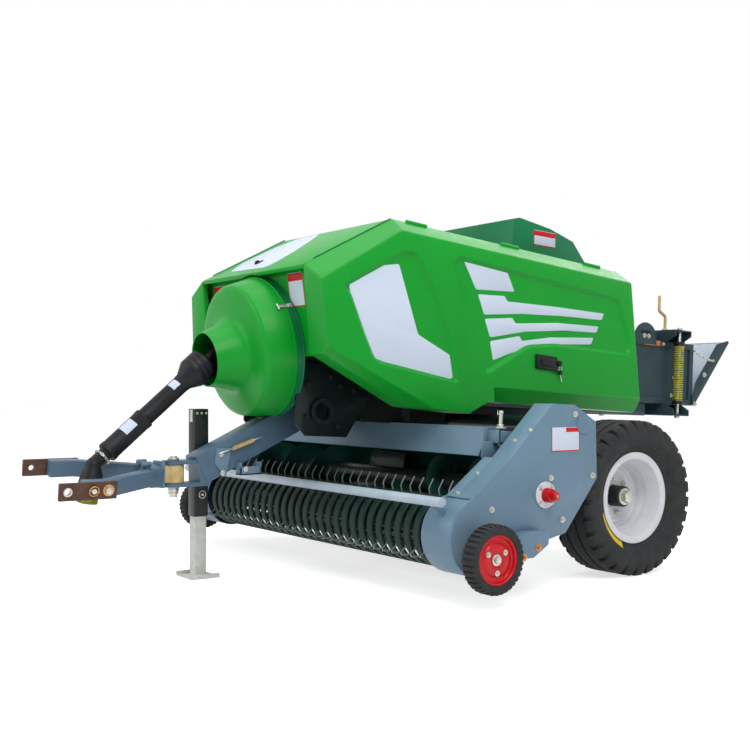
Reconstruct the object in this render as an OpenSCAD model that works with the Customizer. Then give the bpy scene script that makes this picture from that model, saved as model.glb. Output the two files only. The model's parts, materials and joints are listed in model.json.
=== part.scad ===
// In-line small square baler, towed, parked on its jack and its two main wheels.
// Built along +X (travel), +Y (left side) and +Z (up), with the ground at Z = 0.
// Places along the machine are measured from the main axle, then the whole part
// is moved so that its origin is under the middle of its length.

/* [Stance] */
// Nose-up pitch of the chassis as it parks, in degrees
park_pitch = 3.1; // [1:0.1:5]
// Clearance of turning fits, on the radius
run_gap = 0.05; // [0.02:0.01:0.1]
// Clearance between pieces that part or slide
seat_gap = 0.3; // [0.2:0.1:0.6]

/* [Main wheels] */
// Outside diameter over the tread
tyre_d = 760; // [720:1:800]
// Section width of the tyre
tyre_w = 260; // [220:1:280]
// Distance between the middles of the two tyres
wheel_track = 1940; // [1900:1:2000]
// Diameter of the rim's bead seat
rim_seat_d = 390; // [370:1:400]
// Diameter over the rim's flanges
rim_flange_d = 446; // [430:1:460]
// Sheet thickness of the rim
rim_t = 7; // [5:0.5:10]
// How far the wheel disc lies inside the rim's outer edge
disc_inset = 100; // [92:1:108]
// Diameter of the hub's barrel
hub_d = 104; // [90:1:130]
// Diameter of the hub's wheel flange
hub_flange_d = 190; // [170:1:220]
// Diameter of the axle's spindle
spindle_d = 60; // [45:1:70]

/* [Axle and frame] */
// Side of the square axle beam
axle_beam_s = 90; // [70:1:110]
// Height of the frame rails
rail_h = 80; // [60:1:110]
// Width of the frame rails
rail_w = 60; // [40:1:80]
// Front end of the frame rails
rail_front_x = 1440; // [1400:1:1480]
// Rear end of the frame rails
rail_rear_x = -1000; // [-1050:1:-900]
// Thickness of the axle stands
stand_t = 40; // [20:1:60]
// Length of an axle stand along the rail
stand_l = 320; // [240:1:400]

/* [Bale chamber] */
// Clear width of the bale chamber
chamber_w = 460; // [440:1:480]
// Clear height of the bale chamber
chamber_h = 360; // [340:1:380]
// Rear end of the bale chamber
chamber_rear_x = -1420; // [-1480:1:-1380]
// Front end of the bale chamber
chamber_front_x = 900; // [850:1:950]
// Plate thickness of the chamber
chamber_t = 12; // [8:1:16]
// Height of the chamber's underside
chamber_z = 885; // [870:1:900]
// How far the flanges stand out from the chamber's sides
chamber_rib = 14; // [8:1:24]
// Height of those flanges
chamber_rib_h = 36; // [24:1:50]
// Length of the plunger
plunger_l = 260; // [200:1:320]
// Front face of the plunger
plunger_x = 520; // [450:1:600]

/* [Tension gear] */
// Middle of the tension beams along the machine
tension_x = -1215; // [-1240:1:-1190]
// Gap between a tension spring and the chamber's flanges
spring_gap = 22; // [10:1:40]
// Width of a tension beam along the machine
tension_beam_w = 150; // [110:1:170]
// Height of a tension beam
tension_beam_h = 70; // [50:1:90]
// Diameter of a tension spring
spring_d = 62; // [50:1:70]
// Diameter of a spring's wire
spring_wire_d = 10; // [8:1:14]
// Distance from the middle to a crank screw
crank_y = 100; // [70:1:150]
// Diameter of a crank's rod
crank_d = 20; // [14:1:26]
// Height of a crank's throw above the beam
crank_h = 165; // [120:1:200]
// Radius of the bale-length sector
sector_r = 100; // [70:1:120]
// Thickness of the bale-length sector
sector_t = 8; // [5:1:12]

/* [Chute] */
// Length of the chute's floor
chute_l = 525; // [450:1:600]
// Angle of the chute above level as it hangs on its chains
chute_tilt = 52; // [40:1:60]
// Sheet thickness of the chute
chute_t = 6; // [4:1:10]
// Height of the chute's side flanges
chute_flange_h = 80; // [50:1:90]
// Diameter of the chute's hinge barrel
chute_barrel_d = 24; // [18:1:30]
// Diameter of a chain link's wire
chain_d = 8; // [6:1:12]

/* [Hood] */
// Half the width of the middle hood, to the hinge lines
hood_hinge_y = 500; // [480:1:520]
// Sheet thickness of the hoods, with their inner frames
hood_t = 22; // [14:1:30]
// Height of the hood's peak
hood_peak_z = 1663; // [1640:1:1690]
// Place of the hood's peak along the machine
hood_peak_x = 1149; // [1120:1:1180]
// Height of the hood's rear edge
hood_rear_z = 1592; // [1570:1:1620]
// Place of the hood's rear edge along the machine
hood_rear_x = -425; // [-450:1:-390]
// Height of the hood's front edge
hood_front_z = 1386; // [1380:1:1400]
// Place of the hood's front edge along the machine
hood_front_x = 1631; // [1610:1:1660]
// Width of the bevel along the side hood's top
hood_bevel = 110; // [90:1:130]
// Height of the side hood's lowest edge
hood_low_z = 752; // [730:1:780]
// Length of the knotter cover
knotter_l = 620; // [560:1:680]
// Width of the knotter cover
knotter_w = 620; // [540:1:680]
// Height of the knotter cover
knotter_h = 222; // [190:1:260]
// Front end of the knotter cover along the machine
knotter_front_x = 200; // [150:1:250]
// Side of the hood frame's tubes
hood_tube = 50; // [40:1:60]

/* [Flywheel cover] */
// Height of the flywheel's axis
fly_z = 1035; // [1020:1:1050]
// Diameter of the flywheel cover's drum
cover_d = 684; // [660:1:710]
// Rear end of the flywheel cover
cover_rear_x = 1527; // [1515:1:1545]
// Length of the cover's drum
drum_l = 130; // [100:1:150]
// Length of the dark ring behind the drum
ring_l = 34; // [20:1:50]
// Sheet thickness of the cover
cover_t = 7; // [5:1:10]
// Diameter of the cover's nose
nose_d = 262; // [240:1:280]
// Length of the nose tube
nose_l = 90; // [70:1:110]
// Front rim of the nose along the machine
nose_x = 1842; // [1825:1:1855]
// Height of the nose's rim at its middle
nose_z = 950; // [935:1:965]
// Downward tilt of the nose, in degrees
nose_tilt = 9; // [5:1:12]
// Diameter of the flywheel
flywheel_d = 580; // [520:1:620]
// Thickness of the flywheel
flywheel_t = 70; // [50:1:90]
// Diameter of the gearbox's input shaft
input_d = 50; // [40:1:60]
// Length of the gearbox
gearbox_l = 400; // [340:1:440]
// Width of the gearbox
gearbox_w = 380; // [300:1:420]
// Height of the gearbox
gearbox_h = 300; // [260:1:320]

/* [Drawbar and hitch] */
// Place of the hitch pin along the machine
pin_x = 1972; // [1950:1:1990]
// Diameter of the hitch pin
pin_d = 36; // [30:1:42]
// Radius of the clevis's round end
clevis_r = 55; // [50:1:58]
// Thickness of a clevis plate
clevis_t = 18; // [12:1:22]
// Gap between the clevis plates
clevis_gap = 87; // [80:1:95]
// Height of the lower clevis plate's top face
clevis_z = 365; // [355:1:375]
// Width of the drawbar beam
drawbar_w = 120; // [100:1:140]
// Depth of the drawbar beam
drawbar_h = 140; // [120:1:160]
// Slope of the drawbar beam, in degrees
drawbar_slope = 28; // [26:0.5:30]
// Diameter of the swivel bush
bush_d = 100; // [90:1:104]
// Diameter of the fork's roll spindle
roll_d = 40; // [32:1:48]
// Roll of the fork as it hangs, in degrees
fork_roll = -9; // [-12:1:0]
// Height of a fork arm
arm_h = 76; // [64:1:90]
// Width of a fork arm
arm_w = 50; // [40:1:60]
// Distance from the middle to a fork arm's front end
arm_y = 205; // [190:1:225]
// Thickness of a hitch strap
strap_t = 14; // [10:1:20]
// Length of a hitch strap
strap_l = 255; // [220:1:280]
// Diameter of the strap's coupling hole
strap_hole_d = 25; // [20:1:30]
// Distance from the hitch pin to the coupling hole
strap_hole_dx = 590; // [560:1:620]

/* [Jack] */
// Distance of the jack behind the hitch pin
jack_dx = 196; // [185:1:205]
// Distance of the jack from the middle, on the right side
jack_y = 128; // [120:1:140]
// Side of the jack's square tube
jack_s = 72; // [64:1:80]
// Wall of the jack's square tube
jack_wall = 6; // [4:0.5:8]
// Lower end of the jack's tube
jack_low_z = 294; // [270:1:320]
// Upper end of the jack's tube
jack_top_z = 812; // [790:1:830]
// Length of the foot plate
foot_l = 150; // [130:1:180]
// Width of the foot plate
foot_w = 170; // [140:1:200]
// Thickness of the foot plate
foot_t = 8; // [5:1:12]

/* [Driveline] */
// Place of the rear joint along the machine
pto_joint_x = 1740; // [1725:1:1750]
// Downward slope of the driveline, in degrees
pto_slope = 43.7; // [42:0.1:45]
// Length of the driveline from joint to joint
pto_l = 860; // [840:1:880]
// Diameter of the guard's upper tube
guard_d = 84; // [70:1:90]
// Diameter of the guard's lower tube
guard_low_d = 98; // [88:1:104]
// Diameter of the rear guard bell
bell_d = 150; // [134:1:154]
// Diameter of the joint's upright pin
joint_pin_d = 20; // [14:1:24]
// Diameter of the free yoke's bore
yoke_bore_d = 35.3; // [30:0.1:40]
// Length of the free yoke's bore
yoke_bore_l = 70; // [60:1:90]

/* [Pickup] */
// Distance from the middle to the outside of an end plate
plate_y = 1200; // [1180:1:1215]
// Sheet thickness of an end plate
plate_t = 8; // [6:1:12]
// Width of the end plate's inward flange
plate_flange = 110; // [90:1:115]
// Place of the lift pivot along the machine
lift_x = 525; // [505:1:545]
// Height of the lift pivot
lift_z = 725; // [715:1:735]
// Diameter of the lift tube
lift_d = 60; // [50:1:66]
// Place of the reel's axis along the machine
reel_x = 1115; // [1100:1:1130]
// Height of the reel's axis
reel_z = 285; // [275:1:295]
// Radius over the stripper bands
band_r = 156; // [148:1:160]
// Thickness of a stripper band
band_t = 5; // [4:0.5:8]
// Pitch of the stripper bands
band_pitch = 70; // [64:1:80]
// Gap between two stripper bands
band_gap = 30; // [24:1:36]
// Half the width of the row of bands
band_half_w = 1000; // [960:1:1030]
// Radius over the tines' tips
tine_r = 230; // [215:1:235]
// Diameter of a tine's wire
tine_d = 6; // [5:0.5:8]
// Number of tine bars
tine_bars = 3; // [3:1:5]
// Radius at which a tine is bent
tine_bend_r = 180; // [165:1:195]
// Bend of a tine's tip, in degrees
tine_bend_a = 30; // [0:1:40]
// Radius of the tine bars' circle
tine_bar_r = 112; // [95:1:120]
// Diameter of a tine bar
tine_bar_d = 30; // [24:1:36]
// Diameter of the reel's shaft
reel_shaft_d = 50; // [40:1:60]
// Radius of the reel's end shields
shield_r = 170; // [166:1:176]
// Place of the auger's axis along the machine
auger_x = 748; // [735:1:760]
// Height of the auger's axis
auger_z = 446; // [436:1:456]
// Radius over the auger's flights
auger_r = 138; // [120:1:142]
// Diameter of the auger's tube
auger_tube_d = 110; // [90:1:130]
// Diameter of the auger's shaft ends
auger_shaft_d = 40; // [30:1:50]
// Pitch of the auger's flights
auger_pitch = 300; // [250:1:340]
// Inside radius of the auger's trough
trough_r = 156; // [150:1:165]
// Sheet thickness of the trough
trough_t = 5; // [4:1:8]
// Diameter of the windguard's pipe
windguard_d = 42; // [34:1:48]

/* [Feed beam] */
// Front face of the feed beam
feed_front_x = 914; // [905:1:925]
// Height of the feed beam's top
feed_top_z = 694; // [685:1:705]
// Height of the feed beam
feed_h = 73; // [60:1:85]
// Depth of the feed beam along the machine
feed_w = 130; // [110:1:150]
// Half the length of the feed beam
feed_half_l = 960; // [930:1:980]
// Drop of the lip under the feed beam
feed_lip = 60; // [45:1:70]
// Diameter of a lift stop rod
stop_rod_d = 18; // [14:1:24]

/* [Gauge wheels] */
// Outside diameter of a gauge tyre
gauge_d = 292; // [280:1:300]
// Width of a gauge tyre
gauge_w = 74; // [64:1:80]
// Diameter of the gauge wheel's disc
gauge_disc_d = 208; // [195:1:215]
// Place of the gauge wheels along the machine
gauge_x = 1154; // [1140:1:1170]
// Height of the gauge wheels' axles
gauge_z = 212; // [205:1:220]
// Thickness of a gauge wheel's arm, from the end plate outwards
gauge_arm_t = 70; // [60:1:80]
// Length of a gauge wheel's arm behind its axle
gauge_arm_l = 364; // [340:1:380]
// Diameter of a gauge wheel's axle
gauge_axle_d = 30; // [24:1:34]

/* [Hidden] */
$fn = 64;
eps = 1;

// Colours, as the photograph shows them
green = [0.10, 0.62, 0.16];
dark_green = [0.03, 0.30, 0.14];
slate = [0.24, 0.27, 0.31];
blue_grey = [0.45, 0.53, 0.60];
near_black = [0.07, 0.08, 0.09];
zinc = [0.78, 0.78, 0.74];
brown = [0.33, 0.22, 0.18];
tan_yellow = [0.80, 0.68, 0.42];
olive = [0.55, 0.52, 0.10];
red = [0.83, 0.09, 0.10];
spring_yellow = [0.66, 0.68, 0.20];
silver = [0.80, 0.81, 0.82];

axle_z = tyre_d / 2;
// A place of the chassis, [along, up], turned by the parking pitch about the axle
function park(x, z) = [
    x * cos(park_pitch) - (z - axle_z) * sin(park_pitch),
    axle_z + x * sin(park_pitch) + (z - axle_z) * cos(park_pitch)
];
// Points along an arc in a plane, both ends included
function arc(c, r, a0, a1, n) = [for (i = [0:n]) c + r * [cos(a0 + (a1 - a0) * i / n), sin(a0 + (a1 - a0) * i / n)]];
// Points of an outline drawn in towards a centre
function drawn_in(points, c, k) = [for (p = points) c + (p - c) * k];

// Clearance of swinging pieces
swing_gap = 5;

// Bale chamber
chamber_out_y = chamber_w / 2 + chamber_t;
chamber_floor_z = chamber_z + chamber_t;
chamber_roof_z = chamber_floor_z + chamber_h;
chamber_top_z = chamber_roof_z + chamber_t;
chamber_flange_y = chamber_out_y + chamber_rib;
tension_beam_l = 2 * (chamber_flange_y + spring_gap + spring_d);

// Frame
rail_y = chamber_out_y - rail_w;
rail_low_z = chamber_z - rail_h;
stand_low_z = axle_z + axle_beam_s / 2;
front_plate_t = 12;
front_plate_y = rail_y + rail_w;
front_plate_rear_x = 1060;
front_plate_low_z = 610;
front_plate_top_z = chamber_z + 80;
front_plate_hole = [1337, 732];
front_plate_hole_d = 90;
cross_l = 120;

// Main wheels
wheel_y = wheel_track / 2;
spindle_end_y = wheel_y + 20;
hub_in_y = wheel_y - 110;
disc_y = wheel_y + tyre_w / 2 - 18 - disc_inset;
rim_half_w = tyre_w / 2 - 22;
hub_cap_l = 70;

// Hinge of the chute
chute_hinge_x = chamber_rear_x - chute_barrel_d / 2 - seat_gap;
chute_hinge_z = chamber_z + chute_barrel_d / 2;
chute_half_w = chamber_flange_y + swing_gap + 6;
chute_tip = [chute_hinge_x - chute_l * cos(chute_tilt), chute_hinge_z + chute_l * sin(chute_tilt)];
chute_back = chute_tip - chute_t / 2 * [sin(chute_tilt), cos(chute_tilt)];

// Hood
roof_slope = atan2(hood_peak_z - hood_rear_z, hood_peak_x - hood_rear_x);
front_slope = atan2(hood_peak_z - hood_front_z, hood_front_x - hood_peak_x);
hood_bevel_a = 33;
hood_front_bevel_a = 26;
hood_lean = 5.8;
hood_fold_z = 899;
hood_fold_x = 612;
hood_chin_z = 985;
hood_chin_a = 24.3;
hood_chin_lean = 33;
hood_reach = 3000;
knuckle_d = 24;
lid_knuckle_d = 20;
knuckle_l = 120;
knuckle_x = [-150, -760, -1370];
hood_middle = [620, 1210];
hood_shell_k = 0.965;
front_wall_x = cover_rear_x - 2;
wall_top_z = hood_front_z + (hood_front_x - front_wall_x) * tan(front_slope) - hood_t * 0.7;

// Flywheel and driveline
fly_front_x = cover_rear_x + ring_l + drum_l;
pto_joint = park(pto_joint_x, fly_z);
pto_angle = pto_slope - park_pitch;
bell_start = 146;
bell_l = 84;
bell_cone_l = 50;
guard_start = bell_start + bell_l + bell_cone_l;
guard_low_l = 240;
guard_end_l = 80;
yoke_lean = 8;
yoke_cone_d = 112;
yoke_cone_l = 84;
yoke_floor = 20;
joint_r = 25;
eye_h = 24;
ear_t = 12;
pto_bend = pto_joint + pto_l * [cos(pto_angle), -sin(pto_angle)];

// Hitch
jack_x = pin_x - jack_dx;
bush_mid_z = clevis_z + clevis_gap / 2;
bush_h = clevis_gap - 2 * seat_gap;
root_dx = clevis_r + 8;
root_t = 20;
root_h = bush_d * 1.24;
roll_dx = root_dx + root_t;
fork_root_l = 64;
roll_l = fork_root_l + 2 * seat_gap;
strap_end_r = arm_h / 2;
hitch_pos = park(pin_x, bush_mid_z);
web_dx = 110;
web_l = 60;
drawbar_rear_x = 1300;
pin_head = 20;
pin_tail = 50;
nut_h = 34;
front_x = hitch_pos[0] + strap_hole_dx + strap_end_r;
rear_x = park(chute_back[0], chute_back[1])[0];
mid_x = (front_x + rear_x) / 2;

// Pickup
lift_pos = park(lift_x, lift_z);
plate_in_y = plate_y - plate_t;
shield_in_y = band_half_w;
gauge_arm_y = plate_y + gauge_arm_t;
gauge_gap = 8;
gauge_lugs = 36;
gauge_lug_h = 8;
gauge_lug_gap = 9;
gauge_y = gauge_arm_y + gauge_gap + gauge_w / 2;
band_count = floor(2 * band_half_w / band_pitch);
band_w = band_pitch - band_gap;
band_bend_a = 112;
windguard_a = 38;
windguard_half_l = 1170;
sill_x = reel_x - tine_r - 14;
sill_w = 36;
sill_h = 22;
sill_z = reel_z + 10;
feed_rear_x = feed_front_x - feed_w;
feed_low_z = feed_top_z - feed_h;
stop_block = 80;

// Moves the finished part so that its origin is under its middle
module whole() translate([-mid_x, 0, 0]) children();
// Turns chassis pieces by the parking pitch about the axle
module parked() whole() translate([0, 0, axle_z]) rotate([0, -park_pitch, 0]) translate([0, 0, -axle_z]) children();
// Carries the hitch pieces at the clevis without the pitch, so that its pin stands upright
module at_hitch() whole() translate([hitch_pos[0], 0, hitch_pos[1]]) children();
// Stands pieces upright at the driveline's rear joint
module at_joint() whole() translate([pto_joint[0], 0, pto_joint[1]]) children();
// Left side as drawn, right side mirrored
module on_side(s) mirror([0, s < 0 ? 1 : 0, 0]) children();
module both_sides() for (s = [1, -1]) on_side(s) children();
// A box from its lowest to its highest corner
module box(low, high) translate(low) cube(high - low);
// A plate drawn in the X-Z plane, from y0 towards +Y
module side_plate(points, y0, t) translate([0, y0 + t, 0]) rotate([90, 0, 0]) linear_extrude(t) polygon(points);
// A round bar along Y
module bar_y(p, d, y0, y1) translate([p[0], y0, p[1]]) rotate([-90, 0, 0]) cylinder(d = d, h = y1 - y0);
// A round bar along X
module bar_x(x0, x1, z, d) translate([x0, 0, z]) rotate([0, 90, 0]) cylinder(d = d, h = x1 - x0);
// A round bar along Z
module bar_z(p, d, z0, z1) translate([p[0], p[1], z0]) cylinder(d = d, h = z1 - z0);
// Turns a profile [radius, along] about an axis that points to +Y
module turned_y(points) rotate([-90, 0, 0]) rotate_extrude() polygon(points);
// A beam of a given width and depth along a sloping line in the X-Z plane
module sloping_beam(p, l, angle, w, h) translate([p[0], 0, p[1]]) rotate([0, angle, 0]) box([0, -w / 2, -h / 2], [l, w / 2, h / 2]);

// Frame rails under the bale chamber, with their cross members
module main_frame() parked() color(slate) {
    both_sides() box([rail_rear_x, rail_y, rail_low_z], [rail_front_x, rail_y + rail_w, chamber_z]);
    for (x = [rail_rear_x, feed_rear_x, rail_front_x - rail_w])
        box([x, -rail_y - eps, rail_low_z], [x + rail_w, rail_y + eps, chamber_z - chamber_t]);
    difference() {
        both_sides() box([lift_x - lift_d, rail_y, lift_z - lift_d / 2], [lift_x + lift_d, rail_y + rail_w, rail_low_z + eps]);
        bar_y([lift_x, lift_z], lift_d + 2 * run_gap, -front_plate_y - eps, front_plate_y + eps);
    }
    both_sides() box([feed_rear_x, rail_y, feed_top_z], [feed_rear_x + rail_w, rail_y + rail_w, rail_low_z + eps]);
}

// Square axle beam with its stands and round spindles
module axle_beam() parked() color(slate) {
    half_l = hub_in_y - 12;
    box([-axle_beam_s / 2, -half_l, axle_z - axle_beam_s / 2], [axle_beam_s / 2, half_l, axle_z + axle_beam_s / 2]);
    both_sides() side_plate([[-stand_l / 2, rail_low_z], [stand_l / 2, rail_low_z],
        [axle_beam_s, stand_low_z - eps], [-axle_beam_s, stand_low_z - eps]], rail_y + rail_w - stand_t, stand_t);
    both_sides() bar_y([0, axle_z], spindle_d, half_l - eps, spindle_end_y);
}

// One side wall of the bale chamber with its outer flanges
module chamber_wall() {
    y = chamber_w / 2;
    box([chamber_rear_x, y, chamber_z], [chamber_front_x, y + chamber_t, chamber_top_z]);
    for (z = [chamber_z, chamber_top_z - chamber_rib_h])
        box([chamber_rear_x, y + chamber_t - eps, z], [hood_rear_x + 200, y + chamber_t + chamber_rib, z + chamber_rib_h]);
    box([chamber_rear_x, y + chamber_t - eps, chamber_z], [chamber_rear_x + chamber_rib_h, y + chamber_t + chamber_rib, chamber_top_z]);
}
module chamber_left() parked() color(slate) chamber_wall();
module chamber_right() parked() color(slate) on_side(-1) chamber_wall();
module chamber_floor() parked() color(slate)
    box([chamber_rear_x, -chamber_w / 2, chamber_z], [chamber_front_x, chamber_w / 2, chamber_floor_z]);
module chamber_roof() parked() color(slate)
    box([chamber_rear_x, -chamber_w / 2, chamber_roof_z], [chamber_front_x, chamber_w / 2, chamber_top_z]);
module plunger() parked() color(near_black)
    box([plunger_x - plunger_l, -chamber_w / 2 + 5, chamber_floor_z], [plunger_x, chamber_w / 2 - 5, chamber_roof_z - 5]);

// Gearbox block on the front of the frame
module gearbox() parked() color(near_black)
    box([rail_front_x - gearbox_l, -gearbox_w / 2, chamber_z], [rail_front_x, gearbox_w / 2, chamber_z + gearbox_h]);

// Flywheel on the input shaft, which ends in the flat eye and upright pin of the rear joint
module flywheel() color(near_black) {
    fly_x = cover_rear_x + ring_l;
    parked() bar_x(rail_front_x, pto_joint_x - joint_r - 8, fly_z, input_d);
    parked() bar_x(fly_x, fly_x + flywheel_t, fly_z, flywheel_d);
    at_joint() {
        box([-joint_r - 22, -joint_r + 4, -eye_h / 2], [0, joint_r - 4, eye_h / 2]);
        bar_z([0, 0], 2 * joint_r - 2, -eye_h / 2, eye_h / 2);
        bar_z([0, 0], joint_pin_d, -eye_h / 2 - ear_t - 3, eye_h / 2 + ear_t + 3);
    }
}

// Outline of the flywheel cover's drum and dome, as [radius, along], grown by g
function dome(g) = [
    [0, -g], [cover_d / 2 + g, -g], [cover_d / 2 + g, drum_l - 40],
    [cover_d / 2 - 12 + g, drum_l - 8 + g], [cover_d / 2 - 52 + g, drum_l + 18 + g],
    [nose_d / 2 + 30 + g, drum_l + 96 + g], [0, drum_l + 96 + g]
];
module cover_body(g) {
    translate([cover_rear_x + ring_l, 0, fly_z]) rotate([0, 90, 0]) rotate_extrude() polygon(dome(g));
    translate([nose_x, 0, nose_z]) rotate([0, 90 + nose_tilt, 0]) {
        translate([0, 0, -nose_l]) cylinder(d = nose_d + 2 * g, h = nose_l - g);
        translate([0, 0, -nose_l - 70]) cylinder(d1 = nose_d + 60 + 2 * g, d2 = nose_d + 2 * g, h = 70 + eps);
    }
}
// Hollow cover over the flywheel, open at the back and at its nose
module flywheel_cover() parked() color(green) difference() {
    cover_body(0);
    cover_body(-cover_t);
    translate([cover_rear_x + ring_l - eps, 0, fly_z]) rotate([0, 90, 0]) cylinder(d = cover_d - 2 * cover_t, h = 20);
    translate([nose_x, 0, nose_z]) rotate([0, 90 + nose_tilt, 0]) translate([0, 0, -20]) cylinder(d = nose_d - 2 * cover_t, h = 40);
}
// Dark ring that carries the cover on the front wall
module cover_ring() parked() color(dark_green) translate([cover_rear_x, 0, fly_z]) rotate([0, 90, 0]) difference() {
    cylinder(d = cover_d + 8, h = ring_l);
    translate([0, 0, -eps]) cylinder(d = cover_d - 40, h = ring_l + 2 * eps);
}

// Middle hood: its sloping top and the upright wall behind the flywheel cover
module front_hood() parked() color(green) {
    half_w = hood_hinge_y - 3;
    down = hood_t * [sin(front_slope), cos(front_slope)];
    difference() {
        side_plate([[hood_peak_x, hood_peak_z], [hood_front_x, hood_front_z],
            [hood_front_x - down[0], hood_front_z - down[1]], [hood_peak_x, hood_peak_z - hood_t / cos(front_slope)]],
            -half_w, 2 * half_w);
        bar_x(cover_rear_x, hood_front_x + hood_t, fly_z, cover_d + 2 * seat_gap);
    }
    difference() {
        box([front_wall_x - hood_t, -half_w, rail_low_z + 120], [front_wall_x + 2, half_w, wall_top_z]);
        bar_x(front_wall_x - hood_t - eps, front_wall_x + 2 + eps, fly_z, input_d + 40);
    }
}

// Roof between the side hoods, with the rear wall above the bale chamber
module roof_panel() parked() color(dark_green) {
    difference() {
        side_plate([[hood_peak_x - seat_gap, hood_peak_z], [hood_rear_x, hood_rear_z], [hood_rear_x, hood_rear_z - hood_t],
            [hood_peak_x - seat_gap, hood_peak_z - hood_t]], -hood_hinge_y, 2 * hood_hinge_y);
        both_sides() hood_knuckles(knuckle_d + 2 * seat_gap, knuckle_l + 4);
        on_roof() lid_knuckles(lid_knuckle_d + 2 * seat_gap, knuckle_l + 4);
    }
    box([hood_rear_x, -hood_hinge_y + 3, chamber_top_z], [hood_rear_x + hood_t, hood_hinge_y - 3, hood_rear_z - hood_t + eps]);
}

// Posts and bars that carry the roof and the middle hood
module hood_frame() parked() color(near_black) {
    y = rail_y + rail_w + chamber_rib;
    for (x = [hood_peak_x - 3 * hood_tube, hood_rear_x + 250]) {
        top = hood_peak_z - hood_t - (hood_peak_x - x) * tan(roof_slope);
        both_sides() box([x, y, rail_low_z], [x + hood_tube, y + hood_tube, top - hood_tube + eps]);
        box([x, -hood_hinge_y + 60, top - hood_tube], [x + hood_tube, hood_hinge_y - 60, top]);
        both_sides() box([x, rail_y + rail_w, rail_low_z], [x + hood_tube, y + eps, rail_low_z + hood_tube]);
    }
}

// Outline of a side hood, as [along, up]: front edge, peak, rear edge and the folded lower edge
hood_outline = [[hood_front_x, hood_front_z], [hood_peak_x, hood_peak_z], [hood_rear_x, hood_rear_z], [hood_rear_x - 35, hood_fold_z - 90],
    [650, hood_fold_z - 83], [768, hood_low_z], [1100, hood_low_z + 16], [hood_front_x - 56, hood_chin_z]];
// Lays a child's X along the roof's hinge line and its Y outwards and down by an angle
module on_hinge_line(lean) translate([hood_peak_x, hood_hinge_y, hood_peak_z]) rotate([0, -roof_slope, 0]) rotate([-lean, 0, 0]) children();
// The side hood's block, every face drawn in by g
module hood_block(g) difference() {
    side_plate(g > 0 ? drawn_in(hood_outline, hood_middle, hood_shell_k) : hood_outline, hood_hinge_y + seat_gap - 2 * g, 300);
    on_hinge_line(hood_bevel_a) box([-hood_reach, -hood_reach, -g], [hood_reach, hood_reach, hood_reach]);
    translate([hood_peak_x, hood_hinge_y, hood_peak_z]) rotate([0, front_slope, 0]) rotate([-hood_front_bevel_a, 0, 0])
        box([-hood_reach, -hood_reach, -g], [hood_reach, hood_reach, hood_reach]);
    on_hinge_line(hood_bevel_a) translate([0, hood_bevel / cos(hood_bevel_a), 0]) rotate([hood_bevel_a + hood_lean, 0, 0])
        box([-hood_reach, -g, -hood_reach], [hood_reach, hood_reach, hood_reach]);
    translate([hood_front_x - 56, hood_hinge_y + hood_bevel + 20 - g, hood_chin_z]) rotate([0, -hood_chin_a, 0]) rotate([hood_chin_lean, 0, 0])
        box([-hood_reach, -hood_bevel, -hood_reach], [hood_reach, hood_reach, g]);
    translate([0, -g, g]) rotate([90, 0, 90]) translate([0, 0, -hood_reach]) linear_extrude(hood_reach + hood_fold_x)
        polygon([[hood_hinge_y + hood_bevel + 18, hood_fold_z - 94], [hood_hinge_y + hood_bevel + 74, hood_fold_z],
            [hood_hinge_y + 400, hood_fold_z], [hood_hinge_y + 400, hood_low_z], [hood_hinge_y + hood_bevel + 18, hood_low_z]]);
}
// Side hood: a folded skin over the drive, open towards the machine's middle, on three hinge knuckles
module side_hood() color(green) {
    difference() {
        hood_block(0);
        hood_block(hood_t);
    }
    hood_knuckles(knuckle_d, knuckle_l);
}
// Knuckles of the side hood's hinge, along the roof's edge
module hood_knuckles(d, l) on_hinge_line(0) for (x = knuckle_x) translate([x - l / 2, seat_gap / 2, 0]) rotate([0, 90, 0]) cylinder(d = d, h = l);
module left_hood() parked() side_hood();
module right_hood() parked() on_side(-1) side_hood();

// Lid over the knotters, drawn level and laid on the sloping roof
module knotter_cover() parked() color(dark_green) on_roof() {
    difference() {
        knotter_shell(0);
        knotter_shell(hood_t / 2);
    }
    lid_knuckles(lid_knuckle_d, knuckle_l);
}
// Stands pieces on the sloping roof at the knotter cover's front edge
module on_roof() translate([hood_peak_x, 0, hood_peak_z]) rotate([0, -roof_slope, 0]) translate([knotter_front_x - hood_peak_x, 0, seat_gap]) children();
// Knuckles of the knotter cover's hinge
module lid_knuckles(d, l) both_sides() bar_y([0, 0], d, knotter_w / 3 - l / 2, knotter_w / 3 + l / 2);
module knotter_shell(inset) {
    side = knotter_w / 2 - inset;
    corner = 60;
    rotate([90, 0, 0]) translate([0, 0, -side]) linear_extrude(2 * side) polygon([[-inset, -2 * inset], [-inset, knotter_h - 14 - inset],
        [-corner + 15, knotter_h - inset], [-knotter_l * 0.45, knotter_h - 20 - inset], [-knotter_l * 0.74, knotter_h - 60 - inset],
        [-knotter_l + inset * 2, 8 - inset], [-knotter_l + inset * 2, -2 * inset]]);
}

// Front side plates and the cross box that hold the drawbar
module front_frame() parked() color(near_black) {
    both_sides() difference() {
        side_plate([[front_plate_rear_x, front_plate_top_z], [rail_front_x + 40, front_plate_top_z], [rail_front_x + 40, front_plate_low_z + 60],
            [rail_front_x - 20, front_plate_low_z], [front_plate_rear_x + cross_l, front_plate_low_z], [front_plate_rear_x, rail_low_z]],
            front_plate_y, front_plate_t);
        bar_y(front_plate_hole, front_plate_hole_d, front_plate_y - eps, front_plate_y + front_plate_t + eps);
    }
    box([drawbar_rear_x - cross_l, -front_plate_y, front_plate_low_z + 20], [drawbar_rear_x, front_plate_y, rail_low_z]);
}

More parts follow.
